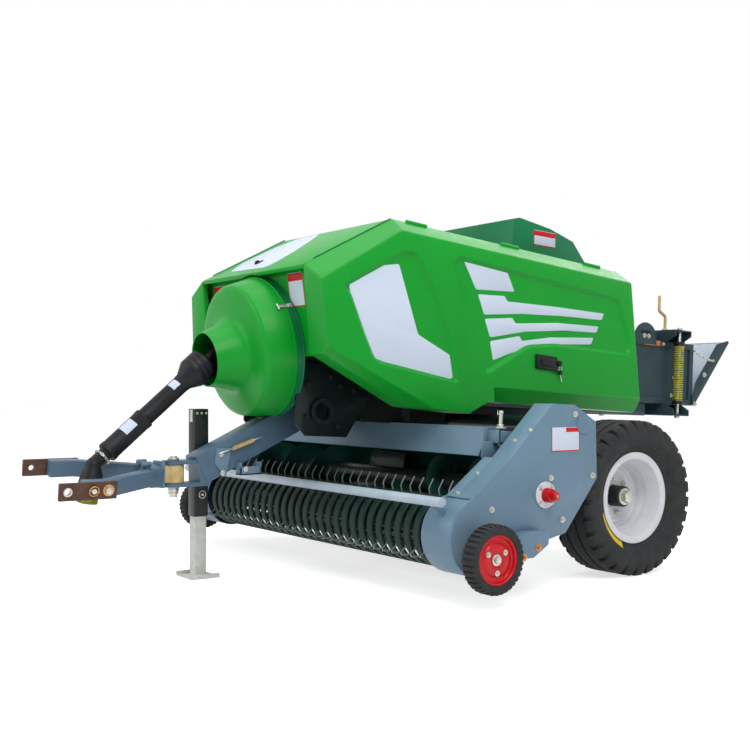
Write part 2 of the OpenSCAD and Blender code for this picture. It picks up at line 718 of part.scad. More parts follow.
// Sloping drawbar beam with the clevis at its front end
module drawbar() color(blue_grey) {
    start = [drawbar_rear_x, front_plate_low_z + drawbar_h - 25];
    beam_l = (pin_x - web_dx - 5 - start[0]) / cos(drawbar_slope);
    parked() difference() {
        sloping_beam(start, beam_l, drawbar_slope, drawbar_w, drawbar_h);
        box([start[0] - drawbar_h, -drawbar_w, 0], [start[0], drawbar_w, chamber_z]);
    }
    at_hitch() {
        box([-web_dx - web_l, -drawbar_w / 2 + 4, -clevis_gap / 2 - 4], [-web_dx, drawbar_w / 2 - 4, clevis_gap / 2 + 4]);
        for (z = [-clevis_gap / 2 - clevis_t, clevis_gap / 2]) difference() {
            union() {
                box([-web_dx - web_l * 0.8, -clevis_r, z], [0, clevis_r, z + clevis_t]);
                bar_z([0, 0], 2 * clevis_r, z, z + clevis_t);
            }
            bar_z([0, 0], pin_d + 2 * run_gap, z - eps, z + clevis_t + eps);
        }
    }
}
// Hitch pin with its head and castle nut
module hitch_pin() at_hitch() color(zinc) {
    seat = clevis_gap / 2 + clevis_t;
    bar_z([0, 0], pin_d, -seat - pin_tail, seat + eps);
    bar_z([0, 0], pin_d + 20, seat, seat + pin_head);
    bar_z([0, 0], pin_d + 18, -seat - nut_h, -seat);
}

// Swivel bush on the hitch pin, with the plate and spindle that the fork rolls on
module swivel_bush() at_hitch() color(tan_yellow) difference() {
    union() {
        bar_z([0, 0], bush_d, -bush_h / 2, bush_h / 2);
        box([bush_d / 4, -bush_d / 2 + 8, -bush_h / 2], [root_dx + eps, bush_d / 2 - 8, bush_h / 2]);
        box([root_dx, -bush_d / 2, -root_h / 2], [roll_dx, bush_d / 2, root_h / 2]);
        bar_x(roll_dx - eps, roll_dx + roll_l + eps, 0, roll_d);
        bar_x(roll_dx + roll_l, roll_dx + roll_l + 16, 0, roll_d + 24);
    }
    bar_z([0, 0], pin_d + 2 * run_gap, -bush_h, bush_h);
}

// Rolls the fork about its spindle
module rolled() at_hitch() rotate([fork_roll, 0, 0]) children();
// Two-armed fork that rolls on the swivel's spindle
module fork_arms() rolled() color(blue_grey) {
    x0 = roll_dx + seat_gap;
    bend_x = strap_hole_dx - strap_l * 0.72;
    end_x = strap_hole_dx - 70;
    root_y = roll_d / 2 + 55;
    difference() {
        box([x0, -root_y, -arm_h / 2 - 8], [x0 + fork_root_l, root_y, arm_h / 2 + 8]);
        bar_x(x0 - eps, x0 + fork_root_l + eps, 0, roll_d + 2 * run_gap);
    }
    both_sides() translate([0, 0, -arm_h / 2]) linear_extrude(arm_h) polygon([[x0, root_y - arm_w], [x0, root_y],
        [x0 + fork_root_l, root_y + 14], [bend_x, arm_y + arm_w / 2], [end_x, arm_y + arm_w / 2], [end_x, arm_y - arm_w / 2],
        [bend_x + 6, arm_y - arm_w / 2], [x0 + fork_root_l, root_y + 12 - arm_w]]);
}
// Straps on the outside of the fork arms, with the coupling holes
module fork_straps() rolled() color(brown) both_sides() {
    y = arm_y + arm_w / 2;
    difference() {
        union() {
            box([strap_hole_dx + strap_end_r - strap_l, y, -arm_h / 2 + 2], [strap_hole_dx, y + strap_t, arm_h / 2 - 2]);
            bar_y([strap_hole_dx, 0], 2 * strap_end_r, y, y + strap_t);
        }
        bar_y([strap_hole_dx, 0], strap_hole_d, y - eps, y + strap_t + eps);
    }
}

// Square tube of the parking jack, with its bracket on the drawbar
module jack_tube() whole() color(near_black) {
    inner = jack_s - 2 * jack_wall;
    mid_z = hitch_pos[1] + 60;
    difference() {
        box([jack_x - jack_s / 2, -jack_y - jack_s / 2, jack_low_z], [jack_x + jack_s / 2, -jack_y + jack_s / 2, jack_top_z]);
        box([jack_x - inner / 2, -jack_y - inner / 2, jack_low_z - eps], [jack_x + inner / 2, -jack_y + inner / 2, jack_top_z - jack_wall]);
    }
    box([jack_x - 40, -jack_y + jack_s / 2 - eps, mid_z - 50], [jack_x + 20, -drawbar_w / 2 - run_gap, mid_z + 50]);
}
// Sliding leg and foot plate of the jack
module jack_leg() whole() color(silver) {
    s = jack_s - 2 * jack_wall - 2 * seat_gap;
    up = 14;
    difference() {
        box([jack_x - s / 2, -jack_y - s / 2, foot_t - eps], [jack_x + s / 2, -jack_y + s / 2, jack_low_z + 120]);
        box([jack_x - s / 2 + jack_wall, -jack_y - s / 2 + jack_wall, foot_t + 4], [jack_x + s / 2 - jack_wall, -jack_y + s / 2 - jack_wall, jack_low_z + 120 + eps]);
    }
    box([jack_x - foot_l / 2, -jack_y - foot_w / 2, 0], [jack_x + foot_l / 2, -jack_y + foot_w / 2, foot_t]);
    for (y = [-jack_y - foot_w / 2, -jack_y + foot_w / 2 - 5]) box([jack_x - foot_l / 2, y, 0], [jack_x + foot_l / 2, y + 5, foot_t + up]);
}

// Beams across the bale chamber, above and below it
module tension_beams() parked() color(slate) {
    x0 = tension_x - tension_beam_w / 2;
    x1 = tension_x + tension_beam_w / 2;
    for (z = [chamber_top_z, chamber_z - tension_beam_h]) difference() {
        box([x0, -tension_beam_l / 2, z], [x1, tension_beam_l / 2, z + tension_beam_h]);
        both_sides() bar_z([tension_x, tension_beam_l / 2 - spring_d / 2], crank_d, z - eps, z + tension_beam_h + eps);
    }
}
// Tension springs on their rods, one each side
module tension_springs() parked() color(spring_yellow) both_sides() {
    y = tension_beam_l / 2 - spring_d / 2;
    bar_z([tension_x, y], spring_d, chamber_z, chamber_top_z);
    bar_z([tension_x, y], crank_d - 2 * run_gap, chamber_z - tension_beam_h - 16, chamber_top_z + tension_beam_h + 18);
}
// Two crank screws on the upper beam
module tension_cranks() parked() color(zinc) both_sides() {
    z = chamber_top_z + tension_beam_h;
    throw = 70;
    bar_z([tension_x, crank_y], crank_d + 18, z, z + 24);
    bar_z([tension_x, crank_y], crank_d, z, z + crank_h - throw);
    translate([tension_x, crank_y, z + crank_h - throw]) rotate([0, 60, 0]) translate([0, 0, -crank_d / 2]) cylinder(d = crank_d, h = throw);
    translate([tension_x + throw * sin(60), crank_y, z + crank_h - throw + throw * cos(60) - crank_d / 2]) cylinder(d = crank_d, h = throw);
}
// Half-round sector that sets the bale length, on the left wall
module length_sector() parked() color(slate) {
    x = -960;
    y = chamber_out_y;
    side_plate(concat(arc([x, chamber_top_z], sector_r, 0, 180, 24), [[x - sector_r, chamber_top_z - 30], [x + sector_r, chamber_top_z - 30]]),
        y + chamber_rib, sector_t);
}

// Chute that hangs at the chamber's rear on two chains
module chute() parked() color(blue_grey) translate([chute_hinge_x, 0, chute_hinge_z]) {
    bar_y([0, 0], chute_barrel_d, -chute_half_w, chute_half_w);
    rotate([0, chute_tilt, 0]) {
        box([-chute_l, -chute_half_w, -chute_t / 2], [0, chute_half_w, chute_t / 2]);
        both_sides() side_plate([[-chute_l, chute_t / 2 - eps], [-chute_l, 14], [-chute_l + 90, chute_flange_h],
            [-120, chute_flange_h], [-20, chute_t / 2 - eps]], chute_half_w - 6, 6);
    }
}
// Chains from the chamber's rear edge to the chute's sides
module chute_chains() parked() color(zinc) both_sides() {
    a = [chamber_rear_x + 8, chamber_top_z - 40];
    b = [chute_hinge_x - 0.62 * chute_l * cos(chute_tilt) + 36, chute_hinge_z + 0.62 * chute_l * sin(chute_tilt) + 26];
    l = norm(b - a);
    y = chute_half_w + seat_gap;
    translate([a[0], y + chain_d, a[1]]) rotate([0, atan2(a[0] - b[0], b[1] - a[1]) * -1, 0]) cylinder(d = 2 * chain_d, h = l);
    bar_y(a, chain_d, chamber_flange_y, y + chain_d);
}

// Beam with a lip across the machine above the augers
module feed_beam() parked() color(blue_grey) {
    side_plate([[feed_rear_x, feed_top_z], [feed_front_x, feed_top_z], [feed_front_x, feed_low_z], [feed_front_x + 28, feed_low_z - feed_lip],
        [feed_front_x + 22, feed_low_z - feed_lip], [feed_front_x - 8, feed_low_z], [feed_rear_x, feed_low_z]], -feed_half_l, 2 * feed_half_l);
}
// Blocks on the ends of the feed beam with the rods that limit the pickup's drop
module stop_rods() parked() color(zinc) both_sides() {
    x = feed_front_x - feed_w / 2;
    y = feed_half_l + stop_block / 2;
    box([x - 40, feed_half_l, feed_low_z], [x + 40, feed_half_l + stop_block, feed_top_z - 6]);
    bar_z([x, y], stop_rod_d, feed_low_z - 10, feed_top_z + 76);
    bar_z([x, y], stop_rod_d + 18, feed_top_z - 6, feed_top_z + 14);
}
// Tube across the frame that the pickup swings on
module lift_tube() parked() color(near_black) bar_y([lift_x, lift_z], lift_d, -plate_y, plate_y);

// Front outline of an end plate: reel arc, slope and top corner
plate_slope_a = 54;
plate_front = concat(arc([reel_x, reel_z], shield_r, -115, plate_slope_a, 24), [[955, 612], [700, 848]]);
plate_rear = [[560, 842], [425, 765], [418, 505], [620, 268], [838, 226]];
plate_edge = [[1173, 453], [955, 612], [700, 848], [560, 842]];
// End plate of the pickup, with a flange turned in along its front and top
module end_plate() color(blue_grey) difference() {
    union() {
        side_plate(concat(plate_front, plate_rear), plate_in_y, plate_t);
        side_plate(concat(plate_edge, [for (i = [len(plate_edge) - 1:-1:0]) plate_edge[i] - [3, 6]]), plate_in_y - plate_flange, plate_flange + eps);
    }
    bar_y(lift_pos, lift_d + 2 * run_gap, 0, 2 * plate_y);
    bar_y([auger_x, auger_z], auger_shaft_d + 2 * run_gap, 0, 2 * plate_y);
    bar_y([reel_x, reel_z], reel_shaft_d + 2 * run_gap, 0, 2 * plate_y);
}
module end_plate_left() whole() end_plate();
module end_plate_right() whole() on_side(-1) end_plate();

// A curved sheet around the reel's axis between two angles
module reel_band(r, t, y0, y1, a0, a1) translate([reel_x, y1, reel_z]) rotate([90, 0, 0]) rotate([0, 0, a0])
    rotate_extrude(angle = a1 - a0) translate([r - t, 0]) square([t, y1 - y0]);
// Round shields over the reel's ends
module reel_shields() whole() color(blue_grey) both_sides() reel_band(shield_r, 4, shield_in_y, plate_in_y, -115, 150);
// Row of stripper bands, each with a tail back to the rail behind the tines' path
module strippers() whole() color(near_black) {
    root = [cos(band_bend_a - 2), sin(band_bend_a - 2)];
    mid_r = band_r - band_t / 2;
    tail_z = sill_z + sill_h - 2;
    for (i = [0:band_count - 1]) {
        y0 = -band_count * band_pitch / 2 + i * band_pitch + band_gap / 2;
        reel_band(band_r, band_t, y0, y0 + band_w, -100, band_bend_a);
        side_plate([[reel_x, reel_z] + (mid_r + band_t / 4) * root, [sill_x - sill_w / 2, tail_z], [sill_x - sill_w / 2, tail_z - band_t],
            [reel_x, reel_z] + (mid_r - band_t / 4) * root], y0 + 2, band_w - 4);
    }
    box([sill_x - sill_w, -plate_in_y, sill_z], [sill_x, plate_in_y, sill_z + sill_h]);
}
// Pipe across the front of the reel, ahead of the tines' path, on brackets from the shields
module windguard() whole() color(silver) {
    p = [reel_x, reel_z] + (tine_r + 7 + windguard_d / 2) * [cos(windguard_a), sin(windguard_a)];
    bar_y(p, windguard_d, -windguard_half_l, windguard_half_l);
    both_sides() difference() {
        side_plate([[reel_x, reel_z], p + [10, -14], p + [-10, 14], [reel_x, reel_z] + shield_r * [cos(58), sin(58)]], windguard_half_l - 60, 8);
        bar_y([reel_x, reel_z], 2 * shield_r, 0, plate_y);
    }
}
// Curved trough behind and under the auger
module auger_trough() whole() color(dark_green) {
    c = [auger_x, auger_z];
    side_plate(concat(arc(c, trough_r + trough_t, 118, 302, 32), arc(c, trough_r, 302, 118, 32)), -plate_in_y, 2 * plate_in_y);
}
// Arms and stub axles of the gauge wheels
module gauge_arms() whole() color(blue_grey) both_sides() {
    c = [gauge_x, gauge_z];
    head = gauge_axle_d * 0.8;
    root = [-gauge_arm_l, gauge_axle_d * 2.9];
    side_plate([c + root, c + root + [115, 0], c + [head, head], c + [head, -head], c + [-head, -head], c + [root[0] + 90, -head],
        c + [root[0], root[1] - 60]], plate_y, gauge_arm_t);
    bar_y(c, gauge_axle_d, gauge_arm_y - eps, gauge_y + gauge_w / 2 - 12);
}
// Red caps over the auger's bearings
module bearing_caps() whole() color(red) both_sides() difference() {
    union() {
        bar_y([auger_x, auger_z], 118, plate_y, plate_y + 8);
        bar_y([auger_x, auger_z], 62, plate_y + 8 - eps, plate_y + 50);
        bar_y([auger_x, auger_z], 36, plate_y + 50 - eps, plate_y + 78);
    }
    bar_y([auger_x, auger_z], auger_shaft_d + 2 * run_gap, plate_y - eps, plate_y + 30);
}
// Wire tine along +X, bent back towards +Z
module tine() {
    tip_r = tine_r - tine_d / 2;
    tip_l = sqrt(pow(tip_r, 2) - pow(tine_bend_r * sin(tine_bend_a), 2)) - tine_bend_r * cos(tine_bend_a);
    translate([tine_bar_r, 0, 0]) rotate([0, 90, 0]) cylinder(d = tine_d, h = tine_bend_r - tine_bar_r + tine_d / 4, $fn = 16);
    translate([tine_bend_r, 0, 0]) rotate([0, 90 - tine_bend_a, 0]) cylinder(d = tine_d, h = tip_l, $fn = 16);
}
// Tined reel on its shaft
module reel() whole() color(near_black) translate([reel_x, 0, reel_z]) {
    bar_y([0, 0], reel_shaft_d, -plate_y, plate_y);
    for (y = [-band_half_w - 30, -band_half_w / 3, band_half_w / 3, band_half_w + 30]) bar_y([0, 0], 2 * tine_bar_r + 10, y - 6, y + 6);
    for (b = [0:tine_bars - 1]) rotate([0, b * 360 / tine_bars - 90, 0]) {
        bar_y([tine_bar_r, 0], tine_bar_d, -band_half_w - 36, band_half_w + 36);
        for (i = [0:band_count]) translate([0, (i - band_count / 2) * band_pitch, 0]) tine();
    }
}
// Auger with opposed flights that bring the crop to the middle
module auger() whole() color(near_black) translate([auger_x, 0, auger_z]) {
    bar_y([0, 0], auger_shaft_d, -plate_y - 20, plate_y + 20);
    bar_y([0, 0], auger_tube_d, -plate_in_y + 20, plate_in_y - 20);
    both_sides() for (i = [0:3]) bar_y([0, 0], 2 * auger_r, 240 + i * auger_pitch * 0.9, 246 + i * auger_pitch * 0.9);
}

// Tyre turned about +Y, as [radius, along]
function tyre_outline(r, w, bead_r, bead_w, seat_r, seat_w) = concat(
    [[seat_r, -seat_w], [bead_r, -bead_w], [bead_r + 24, -bead_w - 12]],
    [[bead_r + (r - bead_r) * 0.45, -w / 2], [bead_r + (r - bead_r) * 0.72, -w / 2], [r - 12, -w / 2 + 16], [r, -w / 2 + 34]],
    [[r, w / 2 - 34], [r - 12, w / 2 - 16], [bead_r + (r - bead_r) * 0.72, w / 2], [bead_r + (r - bead_r) * 0.45, w / 2]],
    [[bead_r + 24, bead_w + 12], [bead_r, bead_w], [seat_r, seat_w]]);
module main_tyre() color(near_black) translate([0, wheel_y, axle_z])
    turned_y(tyre_outline(tyre_d / 2, tyre_w, rim_flange_d / 2 + seat_gap, rim_half_w - 16 - rim_t - seat_gap,
        rim_seat_d / 2 + seat_gap, rim_half_w - 22 - rim_t - seat_gap));
module tyre_left() whole() main_tyre();
module tyre_right() whole() on_side(-1) main_tyre();
// Rim with its drop centre and flat disc
module main_rim() color(silver) translate([0, wheel_y, axle_z]) {
    s = rim_seat_d / 2;
    f = rim_flange_d / 2;
    b = rim_half_w - 16;
    turned_y([[f, -b], [f, -b + rim_t], [s, -b + rim_t + 6], [s - 30, -40], [s - 30, 30], [s, b - rim_t - 6], [f, b - rim_t], [f, b],
        [s - rim_t, b], [s - 30 - rim_t, 30 - rim_t], [s - 30 - rim_t, -40 + rim_t], [s - rim_t, -b]]);
    disc = disc_y - wheel_y;
    turned_y([[hub_d / 2 + seat_gap, disc], [s - 30 - rim_t + eps, disc], [s - 30 - rim_t + eps, disc + 10], [hub_d / 2 + seat_gap, disc + 10]]);
}
module rim_left() whole() main_rim();
module rim_right() whole() on_side(-1) main_rim();
// Hub with its flange and hexagonal cap
module main_hub() color(near_black) translate([0, 0, axle_z]) difference() {
    union() {
        bar_y([0, 0], hub_d, hub_in_y, disc_y + hub_cap_l);
        bar_y([0, 0], hub_flange_d, disc_y - 16, disc_y);
        translate([0, disc_y + hub_cap_l - eps, 0]) rotate([-90, 0, 0]) cylinder(d = hub_d * 0.62, h = 30, $fn = 6);
    }
    bar_y([0, 0], spindle_d + 2 * run_gap, hub_in_y - eps, spindle_end_y + 4);
}
module hub_left() whole() main_hub();
module hub_right() whole() on_side(-1) main_hub();

// Gauge wheel: tyre and pressed disc
module gauge_tyre() color(near_black) translate([gauge_x, gauge_y, gauge_z]) difference() {
    r = gauge_d / 2;
    b = gauge_disc_d / 2 + seat_gap;
    w = gauge_w / 2;
    turned_y([[b, -w + 4], [b + 10, -w], [r - 14, -w], [r, -w + 16], [r, w - 16], [r - 14, w], [b + 10, w], [b, w - 4]]);
    for (i = [0:gauge_lugs - 1]) rotate([0, (i + 0.5) * 360 / gauge_lugs, 0]) box([r - gauge_lug_h, -gauge_w, -gauge_lug_gap / 2], [r + gauge_lug_h, gauge_w, gauge_lug_gap / 2]);
}
module gauge_tyre_left() whole() gauge_tyre();
module gauge_tyre_right() whole() on_side(-1) gauge_tyre();
module gauge_rim() color(red) translate([gauge_x, gauge_y, gauge_z]) difference() {
    union() {
        bar_y([0, 0], gauge_disc_d, -gauge_w / 2 + 6, gauge_w / 2 - 6);
        bar_y([0, 0], 60, gauge_w / 2 - 6 - eps, gauge_w / 2 + 0);
    }
    bar_y([0, 0], gauge_axle_d + 2 * run_gap, -gauge_w, gauge_w / 2 - 8);
}
module gauge_rim_left() whole() gauge_rim();
module gauge_rim_right() whole() on_side(-1) gauge_rim();

// Places pieces along the driveline, with +Z running down its axis
module along_pto() whole() translate([pto_joint[0], 0, pto_joint[1]]) rotate([0, 90 + pto_angle, 0]) children();
// Hangs pieces from the front joint, with +Z running down the yoke
module at_bend() whole() translate([pto_bend[0], 0, pto_bend[1]]) rotate([0, 180 - yoke_lean, 0]) children();
// Guard tubes of the driveline, with the ears that turn on the joint's upright pin
module pto_guard() color(near_black) {
    along_pto() {
        translate([0, 0, joint_r + 14]) cylinder(d = 44, h = bell_start - joint_r);
        translate([0, 0, bell_start]) cylinder(d = bell_d, h = bell_l + eps);
        translate([0, 0, bell_start + bell_l]) cylinder(d1 = bell_d, d2 = guard_d + 8, h = bell_cone_l + eps);
        translate([0, 0, guard_start]) cylinder(d = guard_d, h = pto_l - guard_end_l - guard_low_l - guard_start + eps);
        translate([0, 0, pto_l - guard_end_l - guard_low_l]) cylinder(d = guard_low_d, h = guard_low_l + eps);
        translate([0, 0, pto_l - guard_end_l]) cylinder(d = guard_d - 16, h = guard_end_l);
    }
    at_joint() for (z = [-1, 1]) translate([0, 0, z * (eye_h / 2 + seat_gap + ear_t / 2)]) difference() {
        union() {
            cylinder(r = joint_r, h = ear_t, center = true);
            translate([0, -joint_r, -ear_t / 2]) cube([joint_r + 22, 2 * joint_r, ear_t]);
        }
        cylinder(d = joint_pin_d + 2 * run_gap, h = 2 * ear_t, center = true);
    }
    at_joint() box([joint_r + 4, -joint_r, -eye_h / 2 - ear_t], [joint_r + 22, joint_r, eye_h / 2 + ear_t]);
    at_bend() sphere(d = guard_d - 12);
    at_bend() cylinder(d1 = guard_d - 14, d2 = yoke_cone_d, h = yoke_cone_l);
}
// Free yoke that hangs from the front joint
module pto_yoke() color(olive) at_bend() difference() {
    union() {
        translate([0, 0, yoke_cone_l]) cylinder(d = 72, h = yoke_bore_l + yoke_floor);
        translate([0, 0, yoke_cone_l + yoke_bore_l - 8]) cylinder(d = 84, h = 16);
    }
    translate([0, 0, yoke_cone_l + yoke_floor]) cylinder(d = yoke_bore_d, h = yoke_bore_l + eps);
    translate([0, 0, yoke_cone_l + yoke_floor - 6]) cylinder(d = yoke_bore_d + 6, h = 6);
}

main_frame();
axle_beam();
chamber_left();
chamber_right();
chamber_floor();
chamber_roof();
plunger();
gearbox();
flywheel();
flywheel_cover();
cover_ring();
front_hood();
roof_panel();
hood_frame();
front_frame();
drawbar();
hitch_pin();
jack_tube();
jack_leg();
tension_beams();
tension_springs();
tension_cranks();
length_sector();
chute();
chute_chains();
feed_beam();
stop_rods();
lift_tube();
left_hood();
right_hood();
knotter_cover();
swivel_bush();
fork_arms();
fork_straps();
pto_guard();
pto_yoke();
end_plate_left();
end_plate_right();
reel_shields();
strippers();
windguard();
auger_trough();
gauge_arms();
bearing_caps();
reel();
auger();
gauge_tyre_left();
gauge_tyre_right();
gauge_rim_left();
gauge_rim_right();
tyre_left();
tyre_right();
rim_left();
rim_right();
hub_left();
hub_right();
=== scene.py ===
import bmesh
import bpy
import json
import math
from mathutils import Matrix, Vector


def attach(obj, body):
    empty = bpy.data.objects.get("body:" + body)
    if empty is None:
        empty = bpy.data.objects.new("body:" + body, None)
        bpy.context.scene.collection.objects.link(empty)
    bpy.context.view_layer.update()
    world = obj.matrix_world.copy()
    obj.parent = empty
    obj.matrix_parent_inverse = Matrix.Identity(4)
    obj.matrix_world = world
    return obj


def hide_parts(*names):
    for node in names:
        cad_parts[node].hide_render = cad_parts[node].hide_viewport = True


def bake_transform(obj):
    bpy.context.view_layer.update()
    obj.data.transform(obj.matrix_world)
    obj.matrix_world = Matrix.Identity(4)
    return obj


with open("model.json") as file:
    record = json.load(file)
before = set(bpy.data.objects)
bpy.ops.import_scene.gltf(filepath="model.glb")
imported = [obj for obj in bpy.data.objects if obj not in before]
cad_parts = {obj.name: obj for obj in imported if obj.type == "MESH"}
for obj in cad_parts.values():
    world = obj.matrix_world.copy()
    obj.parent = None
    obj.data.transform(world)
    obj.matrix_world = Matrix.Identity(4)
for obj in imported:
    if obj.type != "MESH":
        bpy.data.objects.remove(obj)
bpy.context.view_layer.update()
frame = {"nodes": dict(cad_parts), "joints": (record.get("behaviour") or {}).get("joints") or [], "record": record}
nodes = frame["nodes"]
record = frame["record"]
jointAt = {j["name"]: Vector(j["pos_m"]) for j in frame["joints"] if "pos_m" in j}
bodyOf = {node: body for body, held in record["behaviour"]["bodies"].items() for node in held}
slotOf = {part["node"]: part["material_slot"] for part in record["subparts"]}
print("frame loaded:", len(nodes), "nodes")

# places, all drawn in millimetres: the chassis is pitched nose up about the axle, the pickup and hitch stand level
layout = dict(
    pitch=3.1, roofFront=(1149, 0, 1663), roofHalf=500, roofSlope=2.583, hoodFold=33, hoodReach=110, hoodSplay=38.8,
    noseSlope=29.9, knotterBack=(-949, 0, 0.3), forkRoll=9, driveDip=130.6, driveLong=860, driveEndDip=172)
mm = Matrix.Scale(0.001, 4)
move = Matrix.Translation


def turn(degrees, axis):
    return Matrix.Rotation(math.radians(degrees), 4, axis)


axle = Vector((jointAt["wheel_left_spin"].x, 0, jointAt["wheel_left_spin"].z))
level = move((axle.x, 0, 0)) @ mm  # X counted from the axle, Z from the ground
chassis = move(axle) @ turn(-layout["pitch"], "Y") @ move((0, 0, -axle.z)) @ mm
roofFront = chassis @ move(layout["roofFront"])
roofLie = turn(-layout["roofSlope"], "Y")
hoodHinge = roofFront @ move((0, layout["roofHalf"], 0)) @ roofLie
hoodFlank = layout["hoodReach"] / math.cos(math.radians(layout["hoodFold"]))
hoodPanel = hoodHinge @ turn(-layout["hoodFold"], "X") @ move((0, hoodFlank, 0)) @ turn(layout["hoodSplay"], "X")  # Y points outwards
frontSlope = roofFront @ turn(layout["noseSlope"], "Y")
knotterSeat = roofFront @ roofLie @ move(layout["knotterBack"])
hitch = move(jointAt["hitch_turn"]) @ mm
fork = hitch @ turn(-layout["forkRoll"], "X")
driveline = move(jointAt["driveline_swing"]) @ turn(layout["driveDip"], "Y") @ mm  # +Z runs down the shaft
driveEnd = move(driveline @ Vector((0, 0, layout["driveLong"]))) @ turn(layout["driveEndDip"], "Y") @ mm
alongX = turn(-90, "Z")  # lays a piece drawn about Y along X
alongZ = turn(90, "X")  # stands a piece drawn about Y upright
acrossTread = Matrix(((0, 1, 0, 0), (1, 0, 0, 0), (0, 0, 1, 0), (0, 0, 0, 1)))  # lays a lug's outline across its tyre
mirrorY = Matrix.Scale(-1, 4, (0, 1, 0))


def linear(hexColour):
    channels = [int(hexColour[i:i + 2], 16) / 255 for i in (0, 2, 4)]
    return [c / 12.92 if c <= 0.04045 else ((c + 0.055) / 1.055) ** 2.4 for c in channels] + [1.0]


def addNode(tree, kind, links=(), **settings):
    node = tree.nodes.new(kind)
    for key, value in settings.items():
        if key.startswith("in_"):
            socket = key[3:].replace("_", " ")
            node.inputs[int(socket) if socket.isdigit() else socket].default_value = value
        else:
            setattr(node, key, value)
    for source, socket in links:
        tree.links.new(source, node.inputs[socket])
    return node


